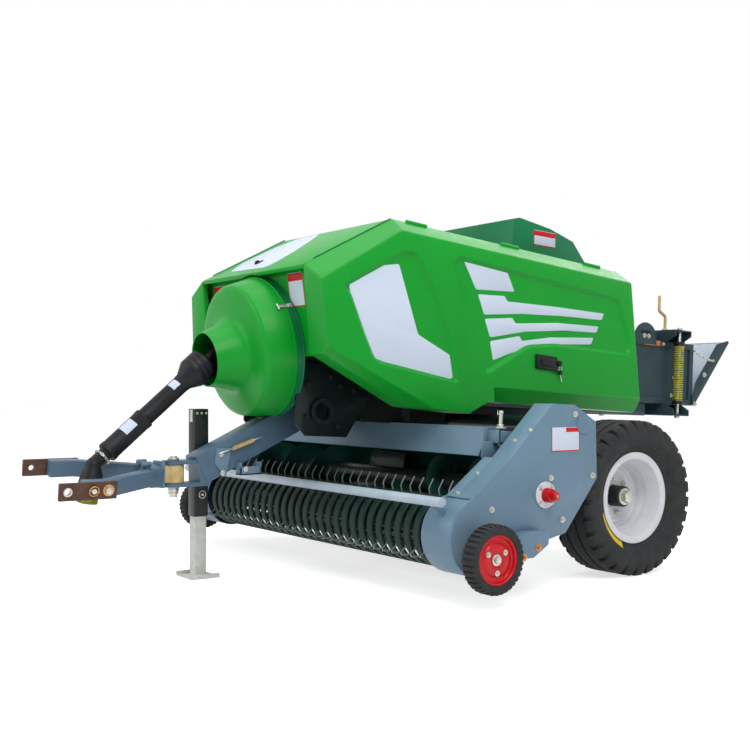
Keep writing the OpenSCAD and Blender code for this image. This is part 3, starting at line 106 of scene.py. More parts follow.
# one dictionary per finish: colour, the darker tone it mottles into, dust colour, gloss, the size of its mottling and
# of its grain
finishes = {
    # enamel sprayed on pressed sheet: bright, even, glossy, with faint orange peel
    "green_paint": dict(label="enamelGreen", base="069A29", shade="059327", dust="1CA43B",
                        rough=0.36, coat=0.06, mottleMm=420, peelMm=5, peel=0.03),
    # the same enamel in a bluer, darker green: roof, ring and knotter cover
    "dark_green_paint": dict(label="enamelDarkGreen", base="0E784A", shade="0C7044", dust="22855B",
                             rough=0.36, coat=0.06, mottleMm=320, peelMm=5, peel=0.03),
    # primer-like chassis paint: dull slate with handling marks
    "slate_paint": dict(label="chassisPaintSlate", base="2F444B", shade="293C43", dust="465A60",
                        rough=0.45, coat=0.08, mottleMm=120, peelMm=4, peel=0.05),
    # satin enamel on cut plate: smooth grey blue
    "blue_grey_paint": dict(label="enamelBlueGrey", base="6C889C", shade="648094", dust="7E98AA",
                            rough=0.4, coat=0.1, mottleMm=160, peelMm=4, peel=0.05),
    # the same enamel made darker for drawbar and fork, to match their look in the machine's shade: painted shade
    "drawbar_painted_shade": dict(label="enamelPaintedShadeGrey", slot="blue_grey_paint", base="566F84", shade="4F677B", dust="687F92",
                          rough=0.4, coat=0.1, mottleMm=120, peelMm=4, peel=0.05),
    # chassis paint in green black: even, slightly satin
    "black_paint": dict(label="chassisPaintBlack", base="172422", shade="111B1A", dust="2C3B38",
                        rough=0.42, coat=0.12, mottleMm=90, peelMm=4, peel=0.05),
    # sand-cast iron under thin black paint: rough and dull
    "cast_iron": dict(label="castIron", base="24272A", shade="191B1D", dust="3A3D40",
                      rough=0.65, coat=0, mottleMm=30, peelMm=3, peel=0.15),
    # bright zinc plate: silver with a faint yellow bloom
    "zinc": dict(label="zincPlate", base="C9C8BE", shade="B1AFA2", dust="DCDCD6",
                 rough=0.34, coat=0, mottleMm=18, peelMm=2, peel=0.04, metallic=0.7),
    # pale enamel on tube and sheet: smooth and bright
    "windguard_paint": dict(label="enamelPaleBlue", base="B2C0CE", shade="A4B3C2", dust="CBD4DC",
                            rough=0.34, coat=0.2, mottleMm=120, peelMm=4, peel=0.04),
    # oil-blacked steel that has browned: dull with a warm cast
    "brown_paint": dict(label="brownedSteel", base="5C4338", shade="49342B", dust="7B6156",
                        rough=0.5, coat=0.05, mottleMm=40, peelMm=3, peel=0.08),
    # casting primer: flat tan, a little chalky
    "tan_paint": dict(label="castingPrimerTan", base="D6BC86", shade="C0A56C", dust="E2CFA2",
                      rough=0.45, coat=0.05, mottleMm=40, peelMm=3, peel=0.06),
    # moulded polyethylene guard: black with a dull sheen
    "black_plastic": dict(label="polyethyleneBlack", base="1A1D21", shade="131518", dust="2B2F34",
                          rough=0.42, coat=0, mottleMm=60, peelMm=2, peel=0.05),
    # paint over a forging: olive, uneven, half dull
    "olive_paint": dict(label="yokePaintOlive", base="86821C", shade="6C6A15", dust="A9A048",
                        rough=0.42, coat=0.1, mottleMm=25, peelMm=3, peel=0.08),
    # enamel on pressed and turned discs: clear red, glossy
    "red_paint": dict(label="enamelRed", base="C8121A", shade="B80F17", dust="D2333A",
                      rough=0.3, coat=0.15, mottleMm=90, peelMm=4, peel=0.03),
    # powder-coated spring wire: yellow green, satin
    "spring_paint": dict(label="springCoatYellow", base="B4B23C", shade="97962E", dust="CACA74",
                         rough=0.4, coat=0.1, mottleMm=30, peelMm=3, peel=0.05),
    # rim enamel: near white, even, glossy
    "rim_paint": dict(label="rimEnamelWhite", base="DADCE0", shade="CDD0D5", dust="E6E8EA",
                      rough=0.3, coat=0.3, mottleMm=120, peelMm=4, peel=0.03),
    # vulcanised rubber: near black, dull, with dusty specks
    "tyre": dict(label="tyreRubber", base="343536", shade="292A2B", dust="515250",
                 rough=0.72, coat=0, mottleMm=60, peelMm=3, peel=0.12),
    # the dark green made darker and duller for the auger and its trough, to match their look in the machine's shade:
    # painted shade
    "shaded_deep_green": dict(label="shadedEnamelGreen", slot="dark_green_paint", base="115044", shade="0C3F35", dust="2A6155",
                       rough=0.5, coat=0, mottleMm=90, peelMm=4, peel=0.06),
    # hot-dip galvanised tube: pale, matt, faintly clouded
    "galvanised": dict(label="galvanisedSteel", slot="zinc", base="CFD2CB", shade="BFC3BC", dust="DADCD8",
                       rough=0.46, coat=0, mottleMm=30, peelMm=3, peel=0.04, metallic=0.15),
    # spring wire dulled by use: grey with a faint green cast
    "dull_wire": dict(label="springWireDull", slot="zinc", base="7E8A86", shade="69746F", dust="949E9A",
                      rough=0.5, coat=0, mottleMm=25, peelMm=2, peel=0.04, metallic=0.3),
    # chassis paint polished and stained by the crop: green black, dull
    "band_paint": dict(label="chassisPaintStained", slot="black_paint", base="15302A", shade="0F2620", dust="2C463F",
                       rough=0.55, coat=0, mottleMm=90, peelMm=4, peel=0.05),
    # rubber sheet, black and dull, also used for dark sheets that stand in for the shade under the reel and in a gap of
    # the frame: painted shade
    "rubber_shade_sheet": dict(label="rubberShadeSheet", slot="tyre", base="1A1E1D", shade="141716", dust="2A2E2D",
                         rough=0.7, coat=0, mottleMm=80, peelMm=4, peel=0.06),
    # printed vinyl film: flat colour with a satin face
    "white_film": dict(label="vinylFilmWhite", slot="rim_paint", base="CED9E9", shade="C8D4E6", dust="DCE4F0",
                       rough=0.4, coat=0.1, mottleMm=300, peelMm=3, peel=0.01),
    # the same film in red
    "red_film": dict(label="vinylFilmRed", slot="red_paint", base="CE1A22", shade="C4181F", dust="D8434A",
                     rough=0.4, coat=0.1, mottleMm=200, peelMm=3, peel=0.01),
    # the same film in yellow
    "yellow_film": dict(label="vinylFilmYellow", slot="spring_paint", base="E3C21E", shade="D6B61A", dust="EAD25C",
                        rough=0.4, coat=0.1, mottleMm=200, peelMm=3, peel=0.01),
    # ribbed acrylic reflector: clear orange over a bright back
    "orange_lens": dict(label="acrylicOrange", slot="red_paint", base="E07F10", shade="CF720C", dust="EDA24A",
                        rough=0.18, coat=0.6, mottleMm=60, peelMm=6, peel=0.08),
    # yellow chromate over zinc: coppery with a rainbow cast
    "chromate": dict(label="chromatePlate", slot="zinc", base="C8955E", shade="B07C48", dust="DCB98C",
                     rough=0.36, coat=0, mottleMm=14, peelMm=2, peel=0.04, metallic=0.6),
}
materials = {}
# what all finishes share: where shade turns to base, how fine and dense the dust is, how far the gloss wanders
surfaceLook = dict(
    shadeAt=0.30, baseAt=0.62, speckSize=0.12, dustFrom=0.60, dustFull=0.84, dustMost=0.25,
    glossFrom=0.3, glossTo=0.75, glossDrop=0.04, glossRise=0.1, grainDepth=0.002, specular=0.2, coatRough=0.08)


def makeFinish(label, base, shade, dust, rough, coat, mottleMm, peelMm, peel, metallic=0.0, slot=None):
    s = surfaceLook
    material = bpy.data.materials.new(label)
    material.use_nodes = True
    tree = material.node_tree
    shader = tree.nodes["Principled BSDF"]
    place = [(addNode(tree, "ShaderNodeTexCoord").outputs["Object"], "Vector")]
    mottle = addNode(tree, "ShaderNodeTexNoise", place, in_Scale=1000 / mottleMm, in_Detail=4.0, in_Roughness=0.55)
    tone = addNode(tree, "ShaderNodeValToRGB", [(mottle.outputs["Fac"], "Fac")])
    for i, (at, tint) in enumerate(((s["shadeAt"], shade), (s["baseAt"], base))):
        tone.color_ramp.elements[i].position = at
        tone.color_ramp.elements[i].color = linear(tint)
    specks = addNode(tree, "ShaderNodeTexNoise", place,
                     in_Scale=1000 / (mottleMm * s["speckSize"]), in_Detail=6.0, in_Roughness=0.7)
    settled = addNode(tree, "ShaderNodeMapRange", [(specks.outputs["Fac"], "Value")],
                      in_1=s["dustFrom"], in_2=s["dustFull"], in_3=0.0, in_4=s["dustMost"])
    colour = addNode(tree, "ShaderNodeMix", [(settled.outputs["Result"], 0), (tone.outputs["Color"], 6)],
                     data_type="RGBA", in_7=linear(dust))
    gloss = addNode(tree, "ShaderNodeMapRange", [(specks.outputs["Fac"], "Value")],
                    in_1=s["glossFrom"], in_2=s["glossTo"], in_3=rough - s["glossDrop"], in_4=rough + s["glossRise"])
    grain = addNode(tree, "ShaderNodeTexNoise", place, in_Scale=1000 / peelMm, in_Detail=2.0)
    bump = addNode(tree, "ShaderNodeBump", [(grain.outputs["Fac"], "Height")], in_Strength=peel, in_Distance=s["grainDepth"])
    tree.links.new(colour.outputs[2], shader.inputs["Base Color"])
    tree.links.new(gloss.outputs["Result"], shader.inputs["Roughness"])
    tree.links.new(bump.outputs["Normal"], shader.inputs["Normal"])
    shader.inputs["Metallic"].default_value = metallic
    shader.inputs["Specular IOR Level"].default_value = s["specular"]
    shader.inputs["Coat Weight"].default_value = coat
    shader.inputs["Coat Roughness"].default_value = s["coatRough"]
    return material


for finishName, finish in finishes.items():
    materials[finishName] = makeFinish(**finish)
for nodeName, slotName in slotOf.items():
    nodes[nodeName].data.materials.clear()
    nodes[nodeName].data.materials.append(materials[slotName])
print("finishes made:", len(materials))


# bench tools: each adds or shapes one piece and leaves it settled in the frame
def clearSelection():
    active = bpy.context.view_layer.objects.active
    if active and active.mode != "OBJECT":
        bpy.ops.object.mode_set(mode="OBJECT")
    bpy.ops.object.select_all(action="DESELECT")


def pick(*pieces):
    clearSelection()
    for piece in pieces:
        piece.select_set(True)
    bpy.context.view_layer.objects.active = pieces[0]
    return pieces[0]


def addObject(name, data):
    piece = bpy.data.objects.new(name, data)
    bpy.context.scene.collection.objects.link(piece)
    return piece


def openMesh(piece):
    pick(piece)
    bpy.ops.object.mode_set(mode="EDIT")
    bpy.ops.mesh.select_all(action="SELECT")


def closeMesh():
    bpy.ops.object.mode_set(mode="OBJECT")


def faceOutwards(piece):
    openMesh(piece)
    bpy.ops.mesh.remove_doubles(threshold=0.001)
    bpy.ops.mesh.normals_make_consistent(inside=False)
    closeMesh()
    return piece


def applyModifier(piece, kind, **settings):
    pick(piece)
    modifier = piece.modifiers.new(kind, kind)
    for key, value in settings.items():
        setattr(modifier, key, value)
    bpy.ops.object.modifier_apply(modifier=modifier.name)
    return piece


def softenEdges(piece, width, segments=2, angle=40):
    if width:
        applyModifier(piece, "BEVEL", width=width, segments=segments,
                      limit_method="ANGLE", angle_limit=math.radians(angle))
    return piece


def settle(piece, place):
    piece.data.transform(place @ piece.matrix_basis)
    piece.matrix_basis = Matrix()
    if place.determinant() < 0:
        piece.data.flip_normals()
    return piece


def addBlock(low, high, place, soft=2.0, segments=2):
    clearSelection()
    middle = [(a + b) / 2 for a, b in zip(low, high)]
    bpy.ops.mesh.primitive_cube_add(size=1, location=middle, scale=[b - a for a, b in zip(low, high)])
    bpy.ops.object.transform_apply(location=True, rotation=True, scale=True)
    return settle(softenEdges(bpy.context.object, soft, segments), place)


def addRod(start, end, radius, place, sides=24, soft=1.0):
    clearSelection()
    start, end = Vector(start), Vector(end)
    bpy.ops.mesh.primitive_cylinder_add(vertices=sides, radius=radius, depth=(end - start).length)
    lie = (end - start).to_track_quat("Z", "Y").to_matrix().to_4x4()
    return settle(softenEdges(bpy.context.object, soft), place @ move((start + end) / 2) @ lie)


# turned pieces on one line, each row: low, high, radius, sides, softened edge
def addStack(stack, place, foot=(0, 0, 0), along=(0, 1, 0)):
    foot, along = Vector(foot), Vector(along)
    return [addRod(foot + along * low, foot + along * high, radius, place, sides, soft) for low, high, radius, sides, soft in stack]


def loopPoints(wide, high, count, shift=0):
    return [(wide * math.cos(a), high * math.sin(a)) for a in [2 * math.pi * (k + shift) / count for k in range(count)]]


def spread(count, pitch):
    return [(i - (count - 1) / 2) * pitch for i in range(count)]


def rectangle(low, high):
    return [(low[0], low[1]), (high[0], low[1]), (high[0], high[1]), (low[0], high[1])]


def roundOutline(points, radius, steps=4):
    rounded = []
    for i, corner in enumerate(points):
        corner = Vector(corner)
        before, after = Vector(points[i - 1]) - corner, Vector(points[(i + 1) % len(points)]) - corner
        a = corner + before.normalized() * min(radius, before.length * 0.45)
        b = corner + after.normalized() * min(radius, after.length * 0.45)
        for k in range(steps + 1):
            t = k / steps
            rounded.append(tuple(a * (1 - t) ** 2 + corner * 2 * t * (1 - t) + b * t ** 2))
    return rounded


def shrinkOutline(points, distance):
    points = [Vector(p) for p in points]
    area = sum(points[i - 1].x * p.y - points[i - 1].y * p.x for i, p in enumerate(points))
    side = 1 if area > 0 else -1
    shrunk = []
    for i, p in enumerate(points):
        a, b = (p - points[i - 1]).normalized(), (points[(i + 1) % len(points)] - p).normalized()
        inward = (Vector((-a.y, a.x)) + Vector((-b.y, b.x))) * side
        shrunk.append(tuple(p + inward.normalized() * distance / max(0.4, inward.length / 2)))
    return shrunk


def addPlate(outline, low, high, place, soft=1.0, holes=()):
    mesh = bpy.data.meshes.new("plate")
    mesh.from_pydata([(u, low, w) for u, w in outline], [], [range(len(outline))])
    piece = addObject("plate", mesh)
    openMesh(piece)
    bpy.ops.mesh.extrude_region_move(TRANSFORM_OT_translate={"value": (0, high - low, 0)})
    bpy.ops.mesh.select_all(action="SELECT")
    bpy.ops.mesh.normals_make_consistent(inside=False)
    closeMesh()
    for u, w, radius in holes:
        carve(piece, addRod((u, low - 5, w), (u, high + 5, w), radius, Matrix(), soft=0))
    return settle(softenEdges(piece, soft), place)


def carve(piece, cutter):
    applyModifier(piece, "BOOLEAN", object=cutter, operation="DIFFERENCE", solver="EXACT")
    bpy.data.objects.remove(cutter)
    return piece


def addLathe(profile, place, steps=64, closed=False, sweep=360, rise=0, soft=0, wall=0):
    count = len(profile)
    edges = [(i, i + 1) for i in range(count - 1)] + ([(count - 1, 0)] if closed else [])
    mesh = bpy.data.meshes.new("lathe")
    mesh.from_pydata([(radius, along, 0) for radius, along in profile], edges, [])
    piece = addObject("lathe", mesh)
    applyModifier(piece, "SCREW", axis="Y", angle=math.radians(sweep), screw_offset=rise, steps=steps, render_steps=steps,
                  use_merge_vertices=sweep == 360 and not rise, merge_threshold=0.01)
    faceOutwards(piece)
    if wall:
        applyModifier(piece, "SOLIDIFY", thickness=wall, offset=0)
    return settle(softenEdges(piece, soft, 2, 25), place)


def addPipe(points, radius, place, closed=False, curved=True, sides=3):
    curve = bpy.data.curves.new("pipe", "CURVE")
    curve.dimensions = "3D"
    curve.bevel_depth = radius
    curve.bevel_resolution = sides
    curve.use_fill_caps = not closed
    spline = curve.splines.new("NURBS" if curved else "POLY")
    spline.points.add(len(points) - 1)
    for dot, at in zip(spline.points, points):
        dot.co = (*at, 1)
    spline.use_cyclic_u = closed
    if curved:
        spline.order_u = 3
        spline.use_endpoint_u = not closed
        spline.resolution_u = 4
    pick(addObject("pipe", curve))
    bpy.ops.object.convert(target="MESH")
    return settle(faceOutwards(bpy.context.object), place)


def addLoft(rings, place, capped=True, wall=0):
    count = len(rings[0])
    faces = [(i * count + k, i * count + (k + 1) % count, (i + 1) * count + (k + 1) % count, (i + 1) * count + k)
             for i in range(len(rings) - 1) for k in range(count)]
    if capped:
        faces += [tuple(range(count)), tuple((len(rings) - 1) * count + k for k in range(count))]
    mesh = bpy.data.meshes.new("loft")
    mesh.from_pydata([tuple(p) for ring in rings for p in ring], [], faces)
    piece = faceOutwards(addObject("loft", mesh))
    if wall:
        applyModifier(piece, "SOLIDIFY", thickness=wall, offset=-1)
    return settle(piece, place)


def copyPiece(piece, matrix):
    twin = addObject(piece.name, piece.data.copy())
    twin.data.transform(matrix)
    if matrix.determinant() < 0:
        twin.data.flip_normals()
    return twin


def turnCopies(piece, count, place):
    return [piece] + [copyPiece(piece, place @ turn(360 * i / count, "Y") @ place.inverted()) for i in range(1, count)]


def bothSides(halves):
    return halves + [copyPiece(half, mirrorY) for half in halves]


def finishPiece(parts, name, body, finish, hides=(), smooth=35):
    piece = pick(*parts)
    if len(parts) > 1:
        bpy.ops.object.join()
    piece.name = piece.data.name = name
    piece.data.materials.clear()
    piece.data.materials.append(materials[finish])
    bpy.ops.object.shade_smooth_by_angle(angle=math.radians(smooth))
    if body:
        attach(piece, body)
    if hides:
        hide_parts(*hides)
    return piece


# a left piece and its mirror image, which rides on the right body and stands for the right nodes
def finishPair(parts, name, body, finish, hides=(), smooth=35):
    left = finishPiece(parts, name + "Left", body, finish, hides, smooth)
    others = [node.replace("left", "right") for node in hides if "left" in node]
    finishPiece([copyPiece(left, mirrorY)], name + "Right", body.replace("left", "right"), finish, others, smooth)


def copyNode(nodeName):
    piece = addObject(nodeName, nodes[nodeName].data.copy())
    openMesh(piece)
    bpy.ops.mesh.remove_doubles(threshold=0.00005)
    bpy.ops.mesh.dissolve_limited(angle_limit=math.radians(0.6))
    closeMesh()
    bpy.ops.mesh.customdata_custom_splitnormals_clear()
    return piece


def softenLongEdges(piece, width, shortest, angle=30, segments=2, spare=None):
    openMesh(piece)
    bpy.ops.mesh.select_all(action="DESELECT")
    bpy.ops.mesh.select_mode(type="EDGE")
    shape = bmesh.from_edit_mesh(piece.data)
    for edge in shape.edges:
        middle = (edge.verts[0].co + edge.verts[1].co) / 2
        sharp = len(edge.link_faces) == 2 and edge.calc_face_angle(0) > math.radians(angle)
        edge.select_set(sharp and edge.calc_length() > shortest and not (spare and spare(middle)))
    shape.select_flush_mode()
    bmesh.update_edit_mesh(piece.data)
    bpy.ops.mesh.bevel(offset=width, segments=segments, affect="EDGES", clamp_overlap=False)
    bpy.ops.mesh.select_mode(type="VERT")
    closeMesh()
    return piece


def dressNode(nodeName, width, finish=None):
    piece = softenLongEdges(copyNode(nodeName), width / 1000, 8 * width / 1000)
    finishPiece([piece], nodeName + "Body", bodyOf[nodeName], finish or slotOf[nodeName], [nodeName])


# hexagonal bolt head on its washer, pointing to +Y, copied wherever a bolt shows
boltHead = addRod((0, 2, 0), (0, 9, 0), 9.5, Matrix(), 6, 0.8)
boltWasher = addRod((0, -0.5, 0), (0, 2.5, 0), 14, Matrix(), 20, 0.5)
boltEnd = addRod((0, 8, 0), (0, 14, 0), 5, Matrix(), 12, 0.8)
pick(boltHead, boltWasher, boltEnd)
bpy.ops.object.join()


def placeBolts(spots, place, size=1.0):
    return [copyPiece(boltHead, place @ move(spot) @ Matrix.Scale(size, 4)) for spot in spots]


# blank label: white film, a red band along its top and a thin red rim
def addSticker(name, low, high, depth, place, body, band=0.3, share=1.0):
    (u0, w0), (u1, w1) = low, high
    face = addPlate(roundOutline(rectangle(low, high), 5), depth - 0.5, depth + 0.8, place, 0.2)
    finishPiece([face], name, body, "white_film")
    foot = w1 - (w1 - w0) * band
    far = u0 + (u1 - u0) * share - 2
    stripe = addPlate(rectangle((u0 + 2, foot), (far, w1 - 2)), depth + 0.5, depth + 1.2, place, 0.1)
    edges = ((u0, w0, u1, w0 + 5), (u0, w0, u0 + 4, w1), (u1 - 4, w0, u1, w1))
    rims = [addBlock((a, depth, b), (c, depth + 1.1, d), place, 0.2) for a, b, c, d in edges]
    finishPiece([stripe] + rims, name + "Band", body, "red_film")


# side hoods: pressed panels with two recesses, plain white shapes and a latch
sideHood = dict(
    edge=9, shortest=90, hingeClear=30, depth=15, slope=20, corner=34, filmCorner=10,
    rearRecess=[(-323, -59), (-1480, -100), (-1567, -320), (-1566, -409), (-999, -427), (-810, -457), (-520, -629),
                (-307, -127)],
    frontRecess=[(341, -312), (-2, -92), (-82, -86), (-191, -240), (-300, -465), (-345, -690), (149, -643), (214, -524),
                 (300, -340)],
    whiteShape=[(292, -304), (239, -252), (179, -212), (100, -180), (14, -159), (-106, -478), (-317, -560), (-327, -575),
                (-328, -648), (-304, -672), (-69, -659), (133, -622), (173, -588), (219, -525), (255, -437), (279, -364)],
    bars=[[(-382, -77), (-659, -70), (-717, -179), (-461, -207)],
          [(-474, -229), (-650, -211), (-670, -236), (-1017, -214), (-1372, -199), (-1352, -237), (-1069, -255), (-770, -285),
           (-515, -325)],
          [(-519, -346), (-704, -315), (-725, -341), (-1017, -298), (-1328, -276), (-1311, -311), (-1068, -331), (-791, -374),
           (-555, -434)],
          [(-555, -453), (-752, -402), (-770, -425), (-967, -381), (-1289, -342), (-1270, -380), (-1039, -408), (-812, -454),
           (-676, -503), (-576, -546)]],
    latchLow=(-995, -558), latchHigh=(-847, -484), knob=(-1003, -517))


def buildHoods(s):
    fromHinge = hoodHinge.inverted()

    def onHinge(point):
        at = fromHinge @ point
        return abs(at.y) < s["hingeClear"] and abs(at.z) < s["hingeClear"]

    hood = softenLongEdges(copyNode("left_hood"), s["edge"] / 1000, s["shortest"] / 1000, 12, 3, onHinge)
    film = -s["depth"]
    for outline in (s["rearRecess"], s["frontRecess"]):
        rim = roundOutline(outline, s["corner"])
        floor = shrinkOutline(rim, s["slope"])
        carve(hood, addLoft([[(u, y, w) for u, w in line] for line, y in ((rim, 16), (rim, 0), (floor, film))], hoodPanel))
    finishPair([hood], "sideHood", "left_hood", "green_paint", ["left_hood"], 28)
    shapes = [addPlate(roundOutline(outline, s["filmCorner"]), film - 0.6, film + 1.0, hoodPanel, 0.3)
              for outline in [s["whiteShape"]] + s["bars"]]
    finishPair(shapes, "hoodMarks", "left_hood", "white_film")
    (u0, w0), (u1, w1), (u, w) = s["latchLow"], s["latchHigh"], s["knob"]
    latch = [addBlock((u0, -2, w0), (u1, 16, w1), hoodPanel, 6, 3),
             addBlock((u0 + 20, 12, w0 + 18), (u1 - 30, 22, w1 - 18), hoodPanel, 4, 3),
             addRod((u, -2, w), (u, 26, w), 15, hoodPanel, 24, 3),
             addRod((u - 7, 10, w - 46), (u - 7, 22, w - 46), 13, hoodPanel, 20, 2)]
    finishPair(latch, "hoodLatch", "left_hood", "black_plastic")
    ring = addPipe([(u - 5 + across, 18, w - 26 + up) for up, across in loopPoints(14, 10, 16)], 1.6, hoodPanel, True)
    blade = addPlate([(u - 10, w - 58), (u - 4, w - 58), (u - 14, w - 92), (u - 20, w - 90)], 15, 17, hoodPanel, 0.4)
    finishPair([ring, blade], "latchKey", "left_hood", "zinc")


buildHoods(sideHood)
print("side hoods done")

# flywheel cover: a spun drum, leant nose down, whose flat face runs over into the nose tube, on a dark ring before the hood's wall
flywheelCover = dict(
    at=(1548, 0, 1030), lean=11, wall=6, steps=96, radius=342, ring=44, clamps=(33, 147, 270),
    rings=[(0, 0, 342), (6, 0, 341.5), (60, -0.5, 331.5), (118, -1, 320.5), (132, -1.2, 317), (139, -1.5, 312.5),
           (143, -2, 305), (147, -3, 288), (151, -6, 258), (155, -10.5, 228), (159, -14.5, 204), (164, -17.5, 187),
           (172, -19.5, 176), (188, -20.5, 167), (220, -21.3, 155), (258, -22, 143), (290, -22.3, 134.5), (304, -22.4, 131)],
    wallFoot=(1481, 0, 985), wallThick=12, wallHole=(0, 55, 296),
    wallOutline=[(-548, 0), (548, 0), (548, 340), (506, 410), (-506, 410), (-548, 340)])
hoodWallPlace = chassis @ move(flywheelCover["wallFoot"]) @ turn(flywheelCover["lean"], "Y") @ alongX  # Y points out of the wall


def buildFlywheelCover(s):
    place = chassis @ move(s["at"]) @ turn(s["lean"], "Y")
    rings = [[(x, u, z + v) for u, v in loopPoints(radius, radius, s["steps"])] for x, z, radius in s["rings"]]
    shell = addLoft(rings, place, False, s["wall"])
    big, long = s["radius"], s["ring"]
    bead = [(big - 8, -4), (big + 3, -4), (big + 4, 0), (big + 3, 4), (big - 2, 6), (big - 8, 6)]
    lip = addLathe(bead, place @ alongX, s["steps"], True)
    finishPiece([shell, lip], "flywheelCoverShell", "chassis", "green_paint", ["flywheel_cover"], 40)
    band = [(big - 24, 0), (big + 3, 0), (big + 3, 3), (big, 6), (big, long - 3), (big - 24, long - 3)]
    ring = addLathe(band, place @ move((-long, 0, 0)) @ alongX, s["steps"], True, soft=1)
    finishPiece([ring], "coverRing", "chassis", "dark_green_paint", ["cover_ring"])
    wall = addPlate(s["wallOutline"], 0, s["wallThick"], hoodWallPlace, 2, [s["wallHole"]])
    finishPiece([wall], "hoodWall", "chassis", "green_paint")
    clamps = []
    for angle in s["clamps"]:
        at = place @ turn(angle, "X")
        clamps += [addBlock((-34, big, -11), (-8, big + 8, 11), at, 2), addBlock((-12, big, -7), (44, big + 6, 7), at, 2),
                   addRod((40, big + 3, -16), (40, big + 3, 16), 5, at, 16)]
        clamps += placeBolts([(-22, big + 7, 0)], at, 0.7)
    finishPiece(clamps, "coverClamps", "chassis", "zinc")


buildFlywheelCover(flywheelCover)
print("flywheel cover done")

# hood middle: white patch and rubber latch on the front slope, blank stickers on the wall and the knotter cover
hoodMiddle = dict(
    patch=[(484, 142), (498, -61), (455, -78), (419, -74), (290, -35), (174, 20), (63, 78), (18, 112), (18, 300), (120, 400),
           (330, 430), (470, 330)],
    patchThick=1.4, latch=(397, 159), seamAt=492, yellowPatch=[(284, 310), (360, 270), (360, 384), (284, 384)],
    stickers=[("wallStickerLeft", (-394, 235), (-262, 394), 0.24), ("wallStickerRight", (366, 260), (486, 384), 0.36)],
    coverSide=310, coverSticker=((-128, 1705), (40, 1788)))


def buildHoodMiddle(s):
    flat = frontSlope @ alongZ
    patch = addPlate(roundOutline(s["patch"], 30), -0.4, s["patchThick"], flat, 0.3)
    finishPiece([patch], "slopePatch", "chassis", "white_film")
    u, w = s["latch"]
    grip = addStack([(0, 9, 17, 28, 2), (8, 16, 11, 24, 3)], flat, (u, 0, w))
    grip.append(addBlock((u - 34, 0, w - 9), (u - 6, 6, w + 9), flat, 3, 3))
    finishPiece(grip, "slopeLatch", "chassis", "black_plastic")
    face = flywheelCover["wallThick"]
    for name, low, high, band in s["stickers"]:
        addSticker(name, low, high, face, hoodWallPlace, "chassis", band)
    yellow = addPlate(s["yellowPatch"], face - 0.4, face + 0.9, hoodWallPlace, 0.2)
    finishPiece([yellow], "wallWarning", "chassis", "yellow_film")
    side = chassis @ move((0, s["coverSide"], 0))
    addSticker("knotterSticker", *s["coverSticker"], 0.6, side, "knotter_lid", 0.35)
    seams = [addRod((-4, y, 2), (486, y, 2), 2.2, frontSlope, 10, 0) for y in (-s["seamAt"], s["seamAt"])]
    finishPiece(seams, "slopeSeams", "chassis", "dark_green_paint")


buildHoodMiddle(hoodMiddle)
print("hood middle done")

# main wheels: ribbed implement tyre with shoulder blocks, deep white rim, black hub under a plated cap
mainWheel = dict(
    at=(0, 970, 380), lugs=30, lugHalf=26, nuts=6, nutCircle=85, nutTurn=0.3,
    half=[(195.3, 78.7), (223.3, 84.7), (234, 90), (243, 99), (250, 101), (262, 114), (280, 123), (300, 128), (322, 129.5),
          (338, 127), (350, 120), (360, 108), (366, 94), (367, 88), (379, 86), (380, 84), (380, 46), (379, 44), (367, 42),
          (366, 40), (366, 34), (367, 32), (379, 30), (380, 28)],
    lug=[(82, 355), (82, 379.4), (108, 379.4), (124, 364), (130, 340), (130, 322), (118, 322)],
    rim=[(223, 92), (224.5, 88), (222, 84.5), (212, 82), (196, 78), (193, 70), (184, 56), (180, 30), (174, 20), (171, -5),
         (164, -18), (162, -40), (164, -46), (193, -70), (196, -78), (212, -82), (222, -84.5), (224.5, -88), (223, -92),
         (214, -91), (190, -86), (186, -76), (158, -66), (150, -66), (62, -62), (53, -62), (53, -50), (66, -50), (112, -50),
         (122, -44), (138, -44), (146, -50), (153, -44), (155, -34), (157, -14), (164, -2), (166, 22), (173, 34), (177, 60),
         (187, 76), (190, 86), (214, 91)],
    hub=[(30, -109), (50, -109), (52, -106), (52, -80), (95, -76), (95, -64), (60, -60), (52, -56), (52, 16), (50, 20),
         (42, 24), (30, 24)],
    hubCap=[(22, 54, 33, 6, 4), (20, 27, 42, 32, 1.5)],
    nut=[(-52, -48, 17, 20, 1), (-49, -34, 13, 6, 1.5), (-36, -24, 7, 14, 1.5)],
    label=[(230, 89.8), (234, 91.8), (243, 100.6), (250, 102.6), (259, 112.4)])


def wholeSection(half):
    return half + [(radius, -along) for radius, along in reversed(half)]


def buildMainWheels(s):
    place = level @ move(s["at"])
    casing = addLathe(wholeSection(s["half"]), place, 90, True)
    blocks = turnCopies(addPlate(s["lug"], -s["lugHalf"], s["lugHalf"], place @ acrossTread, 4), s["lugs"], place)
    flip = place @ mirrorY @ turn(180 / s["lugs"], "Y") @ place.inverted()
    blocks += [copyPiece(b, flip) for b in blocks]
    finishPair([casing] + blocks, "tyre", "wheel_left", "tyre", ["tyre_left"], 40)
    barrel = addLathe(s["rim"], place, 72, True, soft=2)
    valve = [addRod((118, -16, -104), (104, 20, -92), 5, place, 14), addRod((107, 12, -94.5), (102, 25, -90), 6.5, place, 14)]
    finishPair([barrel] + valve, "rim", "wheel_left", "rim_paint", ["rim_left"], 30)
    finishPair([addLathe(s["hub"], place, 64, True, soft=2)], "hub", "wheel_left", "black_paint", ["hub_left"])
    plated = addStack(s["hubCap"], place)
    for x, z in loopPoints(s["nutCircle"], s["nutCircle"], s["nuts"], s["nutTurn"]):
        plated += addStack(s["nut"], place, (x, 0, z))
    finishPair(plated, "wheelFixings", "wheel_left", "zinc")
    strip = addLathe(s["label"], place @ turn(15, "Y"), 30, sweep=50, wall=1.2)
    finishPair([strip], "tyreLabel", "wheel_left", "yellow_film")


buildMainWheels(mainWheel)
print("main wheels done")

